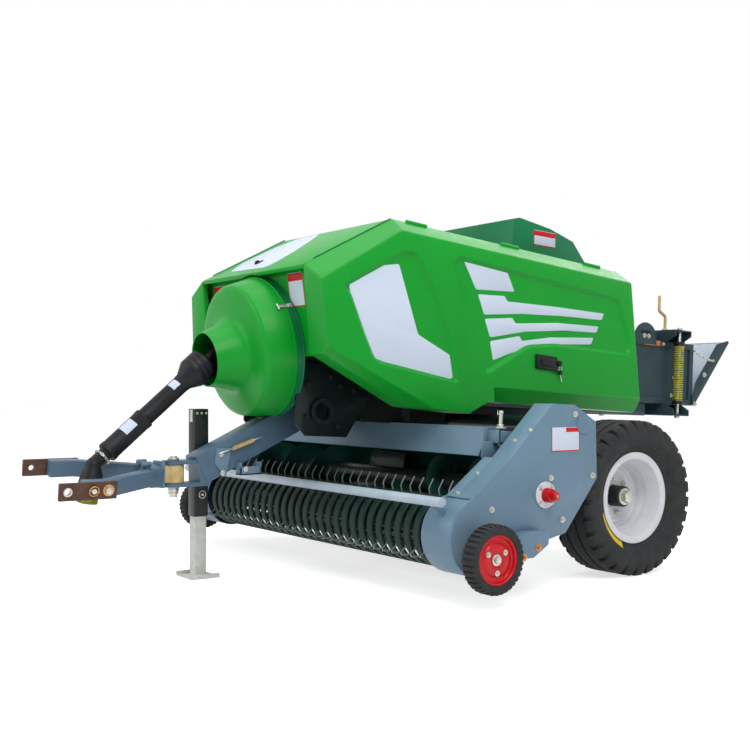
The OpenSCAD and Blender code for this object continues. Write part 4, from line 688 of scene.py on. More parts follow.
# gauge wheels: solid rubber with rounded cross lugs on a pressed red disc
gaugeWheel = dict(
    at=(1154, 1315, 212), lugs=36, lugHalf=7.5, bolts=3, boltCircle=54, boltTurn=0.24,
    half=[(104.5, 33), (108, 36), (114, 37), (132, 36.5), (137, 32), (138.5, 24)],
    lug=[(-34, 130), (-37, 134), (-34, 141), (-24, 146), (24, 146), (34, 141), (37, 134), (34, 130)],
    disc=[(15, 20), (30, 20), (34, 24), (64, 24), (72, 16), (86, 14), (92, 18), (95, 30), (99, 34), (104, 32), (104, -32),
          (99, -34), (95, -30), (92, -18), (86, -14), (72, -16), (64, -24), (34, -24), (30, -31), (15, -31)],
    nut=[(19, 24, 24, 28, 1), (23, 36, 16, 6, 1.5), (34, 38, 9, 16, 1)])


def buildGaugeWheels(s):
    place = level @ move(s["at"])
    casing = addLathe(wholeSection(s["half"]), place, 72, True)
    lugs = turnCopies(addPlate(s["lug"], -s["lugHalf"], s["lugHalf"], place @ acrossTread, 3), s["lugs"], place)
    finishPair([casing] + lugs, "gaugeTyre", "gauge_wheel_left", "tyre", ["gauge_tyre_left"], 40)
    disc = addLathe(s["disc"], place, 64, True, soft=1.5)
    finishPair([disc], "gaugeDisc", "gauge_wheel_left", "red_paint", ["gauge_rim_left"], 30)
    spots = [(x, 24, z) for x, z in loopPoints(s["boltCircle"], s["boltCircle"], s["bolts"], s["boltTurn"])]
    finishPair(addStack(s["nut"], place) + placeBolts(spots, place, 0.85), "gaugeNuts", "gauge_wheel_left", "zinc")


buildGaugeWheels(gaugeWheel)
print("gauge wheels done")

# reel: shaft, end discs and three bars of bent spring tines
reelLook = dict(
    at=(1115, 0, 285), half=1036, shaftHalf=1196, discs=(-1030, -333, 333, 1030), barAt=112, bars=(90, 330, 210),
    tines=29, pitch=70, coil=18.5, bend=180, tip=(224, 26), wire=3.4)


def buildReel(s):
    place = level @ move(s["at"])
    steel = [addRod((0, -s["shaftHalf"], 0), (0, s["shaftHalf"], 0), 25, place, 28, 2)]
    for y in s["discs"]:
        steel.append(addLathe([(24, y - 6), (112, y - 6), (117, y - 4), (117, y + 4), (112, y + 6), (24, y + 6)], place, 40, True))
    wires = []
    out, bend = s["barAt"], s["bend"]
    coil = [(out + s["coil"] * math.cos(a), -9 + 7 * a / math.pi, s["coil"] * math.sin(a))
            for a in [k * math.pi / 5 for k in range(-5, 13)]]
    shank = [(out + 32, 8, 17), (bend - 26, 3, 4), (bend, 0, 0), (bend + 14, 0, 7), (s["tip"][0], 0, s["tip"][1])]
    for angle in s["bars"]:
        at = place @ turn(-angle, "Y")
        steel.append(addRod((out, -s["half"], 0), (out, s["half"], 0), 15, at, 20, 2))
        tine = addPipe(coil + shank, s["wire"], at, curved=False, sides=1)
        wires += [copyPiece(tine, at @ move((0, y, 0)) @ at.inverted()) for y in spread(s["tines"], s["pitch"])]
        bpy.data.objects.remove(tine)
    finishPiece(steel, "reelFrame", "reel", "black_paint", ["reel"])
    finishPiece(wires, "reelTines", "reel", "dull_wire")


buildReel(reelLook)
print("reel done")

# stripper bands: folded strips round the reel with a tail to the rail behind, and a rubber apron under the rail, hung
# low so that it darkens the gap below the reel: painted shade
stripperLook = dict(
    radius=156, pitch=70, count=28, half=20, fold=9, start=-100, end=112, steps=30, tail=(-262, 29), sheet=2.4,
    # the apron reaches down to darken the gap under the reel: painted shade
    rail=((835, -1191, 295), (871, 1191, 317)), apron=((842, -1040, 114), (848, 1040, 300)))


def buildStrippers(s):
    angles = [math.radians(s["start"] + (s["end"] - s["start"]) * k / s["steps"]) for k in range(s["steps"] + 1)]
    path = [(s["radius"] * math.cos(a), s["radius"] * math.sin(a), math.cos(a), math.sin(a)) for a in angles]
    last = path[-1]
    dx, dz = s["tail"][0] - last[0], s["tail"][1] - last[1]
    reach = math.hypot(dx, dz)
    path += [(last[0] + dx * t, last[1] + dz * t, dz / reach, -dx / reach) for t in (0.06, 0.5, 1.0)]
    half, fold = s["half"], s["fold"]
    across = [(-half, -fold), (-half, -3), (-half + 3, 0), (half - 3, 0), (half, -3), (half, -fold)]
    points = [(x + nx * drop, y, z + nz * drop) for x, z, nx, nz in path for y, drop in across]
    width = len(across)
    faces = [(i * width + k, i * width + k + 1, (i + 1) * width + k + 1, (i + 1) * width + k)
             for i in range(len(path) - 1) for k in range(width - 1)]
    mesh = bpy.data.meshes.new("band")
    mesh.from_pydata(points, [], faces)
    band = applyModifier(faceOutwards(addObject("band", mesh)), "SOLIDIFY", thickness=s["sheet"], offset=0)
    place = level @ move(reelLook["at"])
    bands = [copyPiece(band, place @ move((0, y, 0))) for y in spread(s["count"], s["pitch"])]
    bpy.data.objects.remove(band)
    finishPiece(bands + [addBlock(*s["rail"], level, 3)], "stripperBands", "pickup", "band_paint", ["strippers"])
    # black apron that darkens the gap under the reel: painted shade
    finishPiece([addBlock(*s["apron"], level, 1.5)], "pickupShadeApron", "pickup", "rubber_shade_sheet")


buildStrippers(stripperLook)
print("strippers done")

# auger: tube with opposed flights that bring the crop to the middle
augerLook = dict(
    at=(748, 0, 446), tube=55, tubeHalf=1172, shaft=20, shaftHalf=1220, outer=137, start=240, length=930, rise=300, sheet=4,
    paddles=(20, 140, 260))


def buildAuger(s):
    place = level @ move(s["at"])
    turns = s["length"] / s["rise"]
    blade = [(radius, s["start"]) for radius in (s["tube"] - 4, s["tube"] + 30, s["outer"])]
    flight = addLathe(blade, place, int(40 * turns), sweep=360 * turns, rise=s["length"], wall=s["sheet"])
    # the flights take the darkened green that stands in for the shade inside the pickup: painted shade
    finishPiece(bothSides([flight]), "augerFlights", "auger", "shaded_deep_green")
    tube = addStack([(-s["tubeHalf"], s["tubeHalf"], s["tube"], 40, 3), (-s["shaftHalf"], s["shaftHalf"], s["shaft"], 24, 2)], place)
    paddles = [addBlock((s["tube"] - 6, -150, -3), (s["outer"] - 4, 150, 3), place @ turn(a, "Y"), 2) for a in s["paddles"]]
    finishPiece(tube + paddles, "augerTube", "auger", "black_paint", ["auger"])


buildAuger(augerLook)
print("auger done")

# pickup: end plates with flanges, bearings, windguard, gauge arms
pickupLook = dict(
    edges=[("end_plate_left", 2.5), ("end_plate_right", 2.5), ("reel_shields", 1.2), ("gauge_arms", 5)], troughEdge=1.2,
    guardOut=258, guardLift=38, guardHalf=1186, strapsAt=(-1114, 1114), lipAt=(1064, 1092, 533), flangeLean=36.1,
    flangeBolts=[(1045, 1090, 546), (1155, 1090, 466), (826, 1190, 731), (876, 1145, 685)],
    plate=1200, bearing=(748, 446), bearingBolts=48, sticker=((533, 634), (708, 742)),
    plateBolts=[(711, 0, 519), (448, 0, 519), (560, 0, 800), (640, 0, 330), (960, 0, 250), (1060, 0, 400)],
    armBolts=[(854, 70, 232), (939, 70, 196)],
    flange=[(22, 0.2), (58, 0.2), (59, 2), (59, 6), (57, 8), (40, 9), (34, 12), (22, 12)],
    dome=[(22, 8), (33, 8), (33, 14), (31, 18), (31, 40), (27, 48), (16, 50), (0, 50)],
    cap=[(0, 48), (14, 48), (18, 50), (18, 74), (15, 78), (0, 78)])


def buildPickup(s):
    for name, width in s["edges"]:
        dressNode(name, width)
    # the trough takes the darkened green that stands in for the shade inside the pickup: painted shade
    dressNode("auger_trough", s["troughEdge"], "shaded_deep_green")
    a = math.radians(s["guardLift"])
    bar = level @ move(reelLook["at"]) @ move((s["guardOut"] * math.cos(a), 0, s["guardOut"] * math.sin(a)))
    tongue = roundOutline([(-90, -14), (0, -16), (16, 0), (0, 16), (-90, 14)], 10)
    straps = [addPlate(tongue, y - 4, y + 4, bar @ turn(-s["guardLift"], "Y"), 1.5) for y in s["strapsAt"]]
    finishPiece(straps, "windguardStraps", "pickup", "blue_grey_paint")
    pipe = addRod((0, -s["guardHalf"], 0), (0, s["guardHalf"], 0), 21, bar, 36, 3)
    finishPiece([pipe], "windguardPipe", "pickup", "windguard_paint", ["windguard"])
    lean = turn(s["flangeLean"], "Y") @ alongZ
    lip = addPlate(rectangle((-135, 0), (135, -62)), -4, 0, level @ move(s["lipAt"]) @ lean @ turn(180, "Y"), 1.2)
    finishPiece(bothSides([lip]), "flangeLips", "pickup", "blue_grey_paint")
    seats = [copyPiece(boltHead, level @ move(spot) @ lean @ Matrix.Scale(0.8, 4)) for spot in s["flangeBolts"]]
    finishPiece(bothSides(seats), "flangeBolts", "pickup", "zinc")
    disc = addRod((0, 1199.5, 0), (0, 1204, 0), 44, move(jointAt["pickup_lift"]) @ mm, 36, 1.5)
    finishPiece(bothSides([disc]), "liftCaps", "pickup", "blue_grey_paint")
    out = level @ move((0, s["plate"], 0))
    bx, bz = s["bearing"]
    addSticker("plateSticker", *s["sticker"], 0.2, out, "pickup", 0.2, 0.5)
    ring = [(bx + u, 8, bz + v) for u, v in loopPoints(s["bearingBolts"], s["bearingBolts"], 4, 0.5)]
    finishPair(placeBolts(s["plateBolts"], out) + placeBolts(ring, out, 0.8), "plateBolts", "pickup", "zinc")
    at = out @ move((bx, 0, bz))
    finishPair([addLathe(s["flange"], at, 48, True)], "bearingFlange", "pickup", "rim_paint", ["bearing_caps"])
    finishPair([addLathe(s["dome"], at, 48), addLathe(s["cap"], at, 36)], "bearingCap", "pickup", "red_paint")
    pin = addRod((0, 77, 0), (0, 80, 0), 8, at, 20, 1)
    finishPair([pin] + placeBolts(s["armBolts"], out, 1.2), "armBolts", "pickup", "chromate")


buildPickup(pickupLook)
print("pickup done")

# driveline: guard tubes with the bell, blank labels, chain collar and the free yoke
drivelineLook = dict(
    guard=[(10, 120), (40, 128), (60, 140), (71, 146), (75, 150), (75, 172), (73.5, 175), (75, 178), (75, 198), (73.5, 201),
           (75, 204), (75, 224), (73, 230), (50, 272), (46, 280), (44, 284), (44, 296), (42, 300), (42, 536), (45, 540),
           (49, 542), (49, 560), (47, 564), (47, 752), (49, 756), (49, 776), (46, 780), (36, 783), (34, 788), (34, 852),
           (30, 862), (0, 862)],
    cone=[(0, -36), (22, -30), (34, -12), (36, 0), (37, 10), (42, 24), (50, 50), (55, 76), (56, 84), (52, 86), (34, 86),
          (0, 80)],
    yoke=[(17.7, 174), (30, 174), (40, 171), (42, 168), (42, 150), (40, 147), (36, 145), (36, 92), (33, 86), (24, 84), (17.7, 84)],
    labels=[(600, 668, 47.9, 34), (318, 360, 42.9, 30)], labelTurn=138, chainAt=(38, 0, 806), links=15, linkTilts=(25, 90))


def buildDriveline(s):
    run = driveline @ alongZ
    bend = driveEnd @ alongZ
    guard = addLathe(s["guard"], run, 56)
    cone = addLathe(s["cone"], bend, 48)
    neck = [addRod((0, 0, 40), (0, 0, 150), 22, driveline, 28, 3)]
    joint = move(jointAt["driveline_swing"]) @ mm
    for z in (-18.3, 18.3):
        neck += [addRod((0, 0, z - 6), (0, 0, z + 6), 25, joint, 32, 1.5), addBlock((0, -25, z - 6), (47, 25, z + 6), joint, 1.5)]
    neck.append(addBlock((29, -25, -24), (47, 25, 24), joint, 2))
    finishPiece([guard, cone] + neck, "driveGuard", "driveline", "black_plastic", ["pto_guard"], 30)
    yoke = addLathe(s["yoke"], bend, 48, True, soft=1)
    collar = addRod((-52, 0, 160), (-34, 0, 160), 9, driveEnd, 20, 1.5)
    finishPiece([yoke, collar], "driveYoke", "driveline", "olive_paint", ["pto_yoke"])
    labels = [addLathe([(radius, low), (radius, high)], run @ turn(s["labelTurn"] - half, "Y"), 16, sweep=2 * half, wall=0.8)
              for low, high, radius, half in s["labels"]]
    finishPiece(labels, "guardLabels", "driveline", "white_film")
    ring = [(u, v, 0) for u, v in loopPoints(4.5, 11, 10)]
    links = []
    for i in range(s["links"]):
        at = driveline @ turn(360 * i / s["links"], "Z") @ move(s["chainAt"]) @ turn(s["linkTilts"][i % 2], "Y")
        links.append(addPipe(ring, 2.0, at, True, sides=1))
    finishPiece(links, "guardChain", "driveline", "zinc")


buildDriveline(drivelineLook)
print("driveline done")

# hitch: clevis, swivel bush, fork with browned straps and plated pins; drawbar with its lever and spring
hitchLook = dict(
    edge=5, strapFace=244, strapThick=14, strap=((373, -38), (628, 38)), hole=590, strapBolt=412, ringPin=478,
    pin=[(-111, 62, 17.9, 32, 2), (61.8, 74, 27, 36, 2), (72, 81, 18, 6, 2), (-66, -62, 30, 32, 1), (-84, -65, 27, 6, 3)],
    beamSide=60, lever=[(1777, 630), (1700, 628), (1729, 487), (1788, 560)],
    box=[((1557, -1, 500), (1671, 46, 508)), ((1557, -1, 500), (1565, 46, 560)), ((1663, -1, 500), (1671, 46, 560)),
         ((1557, 38, 500), (1671, 46, 540))],
    leverBolts=[(1640, 46, 528), (1752, 9, 600), (1745, 9, 512)],
    hooks=[((1768, 16, 604), (1700, 18, 626)), ((1586, 18, 664), (1540, 18, 679))],
    springAt=(1700, 18, 626), springRun=(-114, 38), springTurns=14, springCoil=9, springWire=3.2)


def buildHitch(s):
    # drawbar and fork take the darkened blue grey that stands in for their shade: painted shade
    for name in ("drawbar", "fork_arms"):
        dressNode(name, s["edge"], "drawbar_painted_shade")
    bush = [addRod((0, 0, -42.5), (0, 0, 42.5), 50, hitch, 48, 3), addBlock((20, -34, -40), (64, 34, 40), hitch, 4)]
    finishPiece(bush, "swivelBush", "hitch_swivel", "tan_paint", ["swivel_bush"])
    rootPlate = [addBlock((62, -50, -62), (83, 50, 62), hitch, 4), addRod((83, 0, 0), (147, 0, 0), 24, hitch, 32, 1),
                 addRod((147.8, 0, 0), (163, 0, 0), 34, hitch, 6, 2)]
    finishPiece(rootPlate, "swivelPlate", "hitch_swivel", "blue_grey_paint")
    face, thick = s["strapFace"], s["strapThick"]
    blank = roundOutline(rectangle(*s["strap"]), 5)
    straps = [addPlate(blank, y - thick, y, fork, 1.5, [(s["hole"], 0, 12.5)]) for y in (face, thick - face)]
    finishPiece(straps, "forkStraps", "hitch_fork", "brown_paint", ["fork_straps"])
    plated, coppery = [], []
    for side in (Matrix(), mirrorY):
        hole, bolt, pin = [fork @ side @ move((s[key], face, 0)) for key in ("hole", "strapBolt", "ringPin")]
        plated.append(addLathe([(12.6, -15), (12.6, 1.5), (19, 1.5), (20, 0), (20, -0.5)], hole, 36))
        coppery.append(addLathe([(12, -0.4), (25, -0.4), (26, 1), (25, 3), (12, 3)], bolt, 36, True))
        plated += addStack([(2, 15, 17, 6, 2), (13, 20, 9, 20, 2)], bolt) + addStack([(-2, 12, 12, 24, 2)], pin)
        coppery.append(addPipe([(u, 7 + v / 7, v) for u, v in loopPoints(21, 21, 16)], 2.6, pin, True))
        coppery.append(addRod((-24, 7, -6), (24, 7, 6), 3, pin, 12))
    finishPiece(plated, "strapBolts", "hitch_fork", "zinc")
    finishPiece(coppery, "strapPins", "hitch_fork", "chromate")
    tubes = [addRod((130, y, 57), (176, y, 57), 12, fork, 20, 2) for y in (-22, 30)]
    finishPiece(tubes, "rootTubes", "hitch_fork", "blue_grey_paint")
    nut = addRod((0, 0, -96), (0, 0, -83), 22, hitch, 24, 1.5)
    for a in (0, 60, 120):
        carve(nut, addBlock((-40, -4, -100), (40, 4, -87), hitch @ turn(a, "Z"), 0))
    split = addRod((-30, 0, -92), (30, 0, -92), 2.6, hitch, 10)
    finishPiece(addStack(s["pin"], hitch, along=(0, 0, 1)) + [nut, split], "hitchPin", "chassis", "zinc", ["hitch_pin"])
    beam = level @ move((0, s["beamSide"], 0))
    lever = addPlate(roundOutline(s["lever"], 12), -1, 9, beam, 2)
    box = [addBlock(low, high, beam, 1.5) for low, high in s["box"]]
    finishPiece([lever] + box, "drawbarBracket", "chassis", "blue_grey_paint")
    hooks = [addRod(start, end, 4, beam, 12) for start, end in s["hooks"]]
    finishPiece(placeBolts(s["leverBolts"], beam) + hooks, "leverBolts", "chassis", "zinc")
    (x, y, z), (dx, dz), coil, spring = s["springAt"], s["springRun"], s["springCoil"], []
    for k in range(12 * s["springTurns"] + 1):
        t, a = k / (12 * s["springTurns"]), k * math.pi / 6
        spring.append((x + dx * t - coil * math.sin(a) * 0.31, y + coil * math.cos(a), z + dz * t + coil * math.sin(a) * 0.95))
    finishPiece([addPipe(spring, s["springWire"], beam, curved=False, sides=1)], "returnSpring", "chassis", "tan_paint")


buildHitch(hitchLook)
print("hitch done")

# parking jack: black square tube with pin holes over a plated leg and turned-up foot
jackLook = dict(at=(1776, -128), top=812, pinAt=400, pinRing=18, edge=4, shortest=30, legEdge=2)


def buildJack(s):
    x, y = s["at"]
    tube = softenLongEdges(copyNode("jack_tube"), s["edge"] / 1000, s["shortest"] / 1000)
    finishPiece([tube], "jackTube", "chassis", "black_paint", ["jack_tube"])
    dressNode("jack_leg", s["legEdge"], "galvanised")
    strip = addBlock((x + 35, y - 18, s["top"] - 62), (x + 38, y + 10, s["top"] - 4), level, 1)
    pin = addRod((x, y - 52, s["pinAt"]), (x, y + 50, s["pinAt"]), 7, level, 16, 1)
    ring = addPipe([(x + u, y + 46, s["pinAt"] + v) for u, v in loopPoints(s["pinRing"], s["pinRing"], 16)], 2.2, level, True)
    bolts = placeBolts([(x + across, y + 36, s["top"] - 20) for across in (-24, 0, 24)], level, 0.45)
    finishPiece([strip, pin, ring] + bolts, "jackPin", "chassis", "zinc")


buildJack(jackLook)
print("jack done")

# bale chamber end: tension gear, length sector, reflector, bolts
chamberLook = dict(
    edges=[("chamber_left", 2), ("chamber_right", 2), ("chamber_floor", 2), ("chamber_roof", 2), ("length_sector", 1.5)],
    beamX=-1215, beamHalf=75, beamLong=340, beamCut=60, beamEnd=36, top=1269, low=885, depth=70, sheet=9,
    springAt=309, coil=26, wire=5, turns=25, cap=[(11, 1), (33, 1), (34, 4), (34, 18), (30, 24), (11, 24)],
    crank=[(0, 0, -4), (0, 0, 60), (0, 0, 96), (8, 0, 108), (54, 0, 126), (61, 0, 140), (61, 0, 170), (61, 0, 226)],
    crankAt=(-64, 140), crankNut=[(9, 0), (19, 0), (19, 20), (15, 24), (9, 24)],
    wallAt=242, reflector=((-1098, 1235), (-950, 1267)), ribs=11,
    stickers=[("chamberStickerFront", (-925, 1236), (-890, 1267)), ("chamberStickerRear", (-1330, 1236), (-1278, 1267))],
    bolts=[(-1250, 1, 1050), (-1234, 1, 940), (-1294, 1, 937), (-1130, 15, 1250), (-700, 15, 1250)],
    # slot: outline of the dark plate that stands in for the shade inside the sector's slot, painted shade
    slot=[(-1008, 1300), (-912, 1300), (-918, 1322), (-1002, 1322)], sectorBolts=[(-985, 22, 1288), (-945, 22, 1288)])


def buildChamber(s):
    for name, width in s["edges"]:
        dressNode(name, width)
    x0, x1, y1, t = s["beamX"] - s["beamHalf"], s["beamX"] + s["beamHalf"], s["beamLong"], s["sheet"]
    top, low, depth = s["top"], s["low"], s["depth"]
    web = [(y1, 0), (y1, s["beamEnd"]), (y1 - s["beamCut"], depth - 0.5)]
    web += [(-y, z) for y, z in reversed(web)]
    channels = []
    for back, inward, face in ((top + depth, -1, top + depth - t), (low - depth, 1, low - depth)):
        channels.append(addBlock((x0, -y1, face), (x1, y1, face + t), chassis, 3))
        outline = [(y, back + inward * z) for y, z in web]
        channels += [addPlate(outline, 0, t, chassis @ move((x + t, 0, 0)) @ turn(90, "Z"), 2) for x in (x0, x1 - t)]
    finishPiece(channels, "tensionBeams", "chassis", "slate_paint", ["tension_beams"])
    at = chassis @ move((s["beamX"], s["springAt"], 0))
    rise, count = top - low - 40, 16 * s["turns"]
    coil = [(s["coil"] * math.cos(math.pi * k / 8), s["coil"] * math.sin(math.pi * k / 8), low + 20 + rise * k / count)
            for k in range(count + 1)]
    springs = bothSides([addPipe(coil, s["wire"], at, curved=False, sides=1)])
    finishPiece(springs, "tensionSprings", "chassis", "spring_paint", ["tension_springs"], 60)
    caps = [addLathe([(radius, foot + side * along) for radius, along in s["cap"]], at @ alongZ, 32, True)
            for foot, side in ((low, 1), (top, -1))]
    finishPiece(bothSides(caps), "springCaps", "chassis", "black_paint")
    rods = [(low - 86, top + 88, 9.9, 20, 2), (top + 70, top + 84, 18, 6, 1.5), (low - 84, low - 70, 18, 6, 1.5)]
    finishPiece(bothSides(addStack(rods, at, along=(0, 0, 1))), "springRods", "chassis", "zinc")
    crankAt = chassis @ move((s["beamX"] + s["crankAt"][0], s["crankAt"][1], top + depth))
    crank = [addPipe(s["crank"], 9.5, crankAt), addLathe(s["crankNut"], crankAt @ alongZ, 28, True)]
    finishPiece(bothSides(crank), "tensionCranks", "chassis", "tan_paint", ["tension_cranks"])
    wall = chassis @ move((0, s["wallAt"], 0))
    (u0, w0), (u1, w1) = s["reflector"]
    lens = [addPlate(roundOutline(rectangle(*s["reflector"]), 6), 13.5, 19, wall, 1.5)]
    lens += [addBlock((u, 18, w0 + 4), (u + 6, 20, w1 - 4), wall, 0.8) for u in [u0 + 6 + 12 * i for i in range(s["ribs"])]]
    finishPiece(lens, "sideReflector", "chassis", "orange_lens")
    for name, corner, far in s["stickers"]:
        addSticker(name, corner, far, 14, wall, "chassis", 0.4)
    finishPair(placeBolts(s["bolts"], wall, 0.8), "chamberBolts", "chassis", "zinc")
    # a thin dark plate in the slot's outline stands in for the shade inside the slot: painted shade
    slot = addPlate(roundOutline(s["slot"], 9), 21.5, 22.6, wall, 0.3)
    finishPiece([slot], "sectorSlotShade", "chassis", "cast_iron")
    finishPiece(placeBolts(s["sectorBolts"], wall), "sectorBolts", "chassis", "zinc")


buildChamber(chamberLook)
print("bale chamber done")

# chute: pale sheet between slate flanges, held by two link chains
chuteLook = dict(
    hinge=(-1432.3, 0, 897), tilt=52, long=525, half=267,
    side=[(-525, -3), (-525, 14), (-435, 80), (-120, 80), (0, 34), (12, 10), (12, -12), (0, -14), (-20, -3)],
    chainStart=(-1412, 275.5, 1229), chainEnd=(-1597, 275.5, 1180), links=10, sag=60)


def buildChute(s):
    at = chassis @ move(s["hinge"]) @ turn(s["tilt"], "Y")
    long, half = s["long"], s["half"]
    sheet = [addBlock((-long, 3 - half, -3), (0, half - 3, 3), at, 1.5), addRod((0, 1 - half, 0), (0, half - 1, 0), 12, at, 28, 2),
             addRod((4 - long, 4 - half, 1), (4 - long, half - 4, 1), 4.5, at, 12, 1)]
    finishPiece(sheet, "chuteSheet", "chute", "windguard_paint", ["chute"])
    flange = addPlate(roundOutline(s["side"], 6), half - 6, half, at, 1.5)
    rim = addBlock((6 - long, half - 30, -4.6), (-20, half - 2, -2), at, 1)
    finishPiece(bothSides([flange, rim]), "chuteFlanges", "chute", "slate_paint")
    finishPiece(bothSides(placeBolts([(0, half, 0), (-200, half, 50)], at, 1.1)), "chuteBolts", "chute", "zinc")
    start, end = Vector(s["chainStart"]), Vector(s["chainEnd"])
    ring = [(u, v, 0) for u, v in loopPoints(14, 7, 12)]
    hang = [start.lerp(end, t) - Vector((0, 0, s["sag"] * t * (1 - t))) for t in [i / s["links"] for i in range(s["links"] + 1)]]
    links = []
    for i, (a, b) in enumerate(zip(hang, hang[1:])):
        lie = (b - a).to_track_quat("X", "Z").to_matrix().to_4x4()
        place = chassis @ move((a + b) / 2) @ lie @ turn(90 * (i % 2) + 45, "X")
        links.append(addPipe(ring, 2.7, place, True, sides=1))
    links.append(addRod((start.x, 250, start.z), (start.x, start.y + 6, start.z), 6, chassis, 16, 1))
    chain = finishPiece(bothSides(links), "chuteChains", None, "zinc", ["chute_chains"])
    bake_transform(chain)


buildChute(chuteLook)
print("chute done")

# knotter cover: a folded sheet box with rounded edges, open below, on two hinge knuckles
knotterCover = dict(
    half=310, sheet=11, edge=10, knuckleAt=207, knuckleHalf=60,
    outer=[(0, 0), (0, 208), (-45, 222), (-279, 202), (-458.8, 162), (-620, 8), (-620, 0)],
    inner=[(-11, -22), (-11, 197), (-45, 211), (-279, 191), (-458.8, 151), (-598, -3), (-598, -22)])


def buildKnotterCover(s):
    inside = s["half"] - s["sheet"]
    box = addPlate(s["outer"], -s["half"], s["half"], knotterSeat, s["edge"])
    lid = carve(box, addPlate(s["inner"], -inside, inside, knotterSeat, 0))
    knuckles = [addRod((0, y - s["knuckleHalf"], 0), (0, y + s["knuckleHalf"], 0), 10, knotterSeat, 24, 1)
                for y in (-s["knuckleAt"], s["knuckleAt"])]
    finishPiece([lid] + knuckles, "knotter_coverBody", "knotter_lid", "dark_green_paint", ["knotter_cover"])


buildKnotterCover(knotterCover)
print("knotter cover done")

# frame, feed beam, roof and front slope: the solids with their edges broken, and what is bolted to them
frameLook = dict(
    edges=[("main_frame", 4), ("axle_beam", 5), ("gearbox", 8), ("roof_panel", 5), ("hood_frame", 4), ("front_frame", 3),
           ("feed_beam", 3)],
    slopeEdge=6, slopeShortest=60, slopeCut=((1480, -520, 900), (1545, 520, 1388)),
    # shields: black sheets on the frame's inner walls, the second one put to darken a gap between frame and feed beam:
    # painted shade
    shields=[((884, 236, 884), (1440, 242, 1075)), ((190, 236, 690), (1100, 242, 806))],
    stopAt=(849, 1000, 0), stopRod=[(611, 770, 9, 20, 2), (688, 696, 26, 28, 1.5), (695, 708, 16, 6, 1.5), (752, 766, 12, 6, 1.5)],
    stopBracket=[((-40, -40, 621), (40, 40, 629)), ((-40, -40, 678), (40, 40, 688)), ((-40, 32, 621), (40, 40, 688)),
                 ((-40, -40, 621), (-32, 40, 688)), ((32, -40, 621), (40, 40, 688)), ((-10, -10, 552), (101, -3, 629))],
    sidePlate=268, plateRing=(1337, 0, 732),
    plateBolts=[(1100, 0, 700), (1160, 0, 840), (1240, 0, 660), (1420, 0, 700), (1420, 0, 860), (1240, 0, 860), (1300, 0, 900)])


def buildFrame(s):
    for name, width in s["edges"]:
        dressNode(name, width)
    slope = softenLongEdges(copyNode("front_hood"), s["slopeEdge"] / 1000, s["slopeShortest"] / 1000)
    carve(slope, addBlock(*s["slopeCut"], chassis, 0))
    finishPiece([slope], "frontHoodBody", "chassis", "green_paint", ["front_hood"])
    # black sheets inside the frame, the second darkens a gap between frame and feed beam: painted shade
    shields = [addBlock(low, high, chassis, 1.5) for low, high in s["shields"]]
    finishPiece(bothSides(shields), "driveShieldsAndShade", "chassis", "rubber_shade_sheet")
    stop = chassis @ move(s["stopAt"])
    brackets = [addBlock(low, high, stop, 2) for low, high in s["stopBracket"]]
    finishPiece(bothSides(brackets), "stopBrackets", "chassis", "blue_grey_paint", ["stop_rods"])
    finishPiece(bothSides(addStack(s["stopRod"], stop, along=(0, 0, 1))), "stopRods", "chassis", "zinc")
    sidePlate = chassis @ move((0, s["sidePlate"], 0))
    heads = placeBolts(s["plateBolts"], sidePlate)
    ring = addLathe([(44, 0), (62, 0), (64, 3), (62, 8), (44, 8)], sidePlate @ move(s["plateRing"]), 40, True)
    finishPiece(bothSides(heads) + bothSides([ring]), "framePlateBolts", "chassis", "cast_iron")


buildFrame(frameLook)
bpy.data.objects.remove(boltHead)
print("frame done")

# floor, light and camera
studio = dict(
    lamps=[dict(name="keyLamp", place=(2.2, 5.2, 6.0), size=4.0, power=260),
           dict(name="topLamp", place=(0.4, 0.6, 6.5), size=5.0, power=145),
           dict(name="fillLamp", place=(6.0, -1.5, 3.5), size=4.0, power=100),
           dict(name="backLamp", place=(-4.5, -2.0, 4.5), size=4.0, power=90)],
    lampAim=(0.2, 0, 0.8), worldLevel=0.38, glow=0.66, floorSize=60, paper="F0F1F2", white="FFFFFF",
    lens=52.75, eye=(4179.9, 4716.4, 920.7), side=(-0.81401, 0.58084, 0.00256), upward=(0.00838, 0.00732, 0.99994))


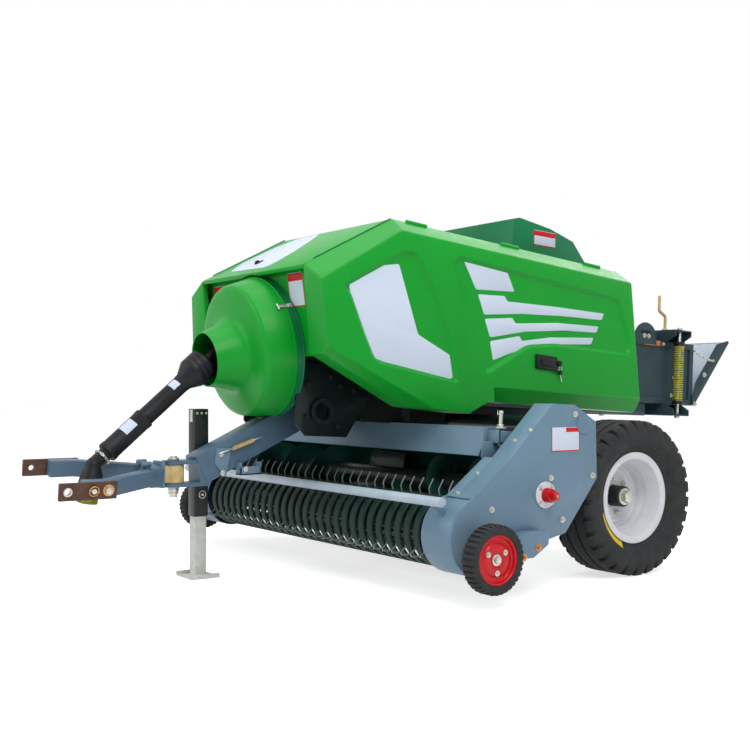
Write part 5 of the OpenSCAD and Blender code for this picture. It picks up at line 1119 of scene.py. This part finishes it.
# one level for what the lens sees, straight or in gloss and glass, and another for the light on the object
def seenLevel(tree, hidden, seen):
    path = addNode(tree, "ShaderNodeLightPath").outputs
    straight = addNode(tree, "ShaderNodeMath", [(path["Is Camera Ray"], 0), (path["Is Glossy Ray"], 1)], operation="MAXIMUM")
    shown = addNode(tree, "ShaderNodeMath", [(straight.outputs[0], 0), (path["Is Transmission Ray"], 1)], operation="MAXIMUM")
    return addNode(tree, "ShaderNodeMapRange", [(shown.outputs[0], "Value")], in_3=hidden, in_4=seen).outputs["Result"]


def buildStage(s):
    clearSelection()
    bpy.ops.mesh.primitive_plane_add(size=s["floorSize"], location=(0, 0, -0.001))
    floor = bpy.context.object
    floor.name = "floor"
    paper = bpy.data.materials.new("paperSweep")  # white paper: matt, glows a little to the lens so that it meets the backdrop
    paper.use_nodes = True
    tree = paper.node_tree
    shader = tree.nodes["Principled BSDF"]
    shader.inputs["Base Color"].default_value = linear(s["paper"])
    shader.inputs["Roughness"].default_value = 0.9
    shader.inputs["Emission Color"].default_value = linear(s["white"])
    tree.links.new(seenLevel(tree, 0.0, s["glow"]), shader.inputs["Emission Strength"])
    floor.data.materials.append(paper)
    world = bpy.data.worlds.new("studio")
    bpy.context.scene.world = world
    world.use_nodes = True
    sky = world.node_tree
    background = sky.nodes["Background"]
    background.inputs["Color"].default_value = linear(s["white"])
    sky.links.new(seenLevel(sky, s["worldLevel"], 1.0), background.inputs["Strength"])
    for lamp in s["lamps"]:
        light = bpy.data.lights.new(lamp["name"], "AREA")
        light.energy = lamp["power"]
        light.size = lamp["size"]
        holder = addObject(lamp["name"], light)
        holder.location = lamp["place"]
        aim = Vector(s["lampAim"]) - holder.location
        holder.rotation_euler = aim.to_track_quat("-Z", "Y").to_euler()
    camera = addObject("camera", bpy.data.cameras.new("camera"))
    side, upward = Vector(s["side"]), Vector(s["upward"])
    facing = Matrix((side, upward, side.cross(upward))).transposed().to_4x4()
    camera.matrix_world = move(level @ Vector(s["eye"])) @ facing
    camera.data.lens = s["lens"]
    bpy.context.scene.camera = camera
    bpy.context.scene.view_settings.view_transform = "Standard"
    print("stage set")


buildStage(studio)
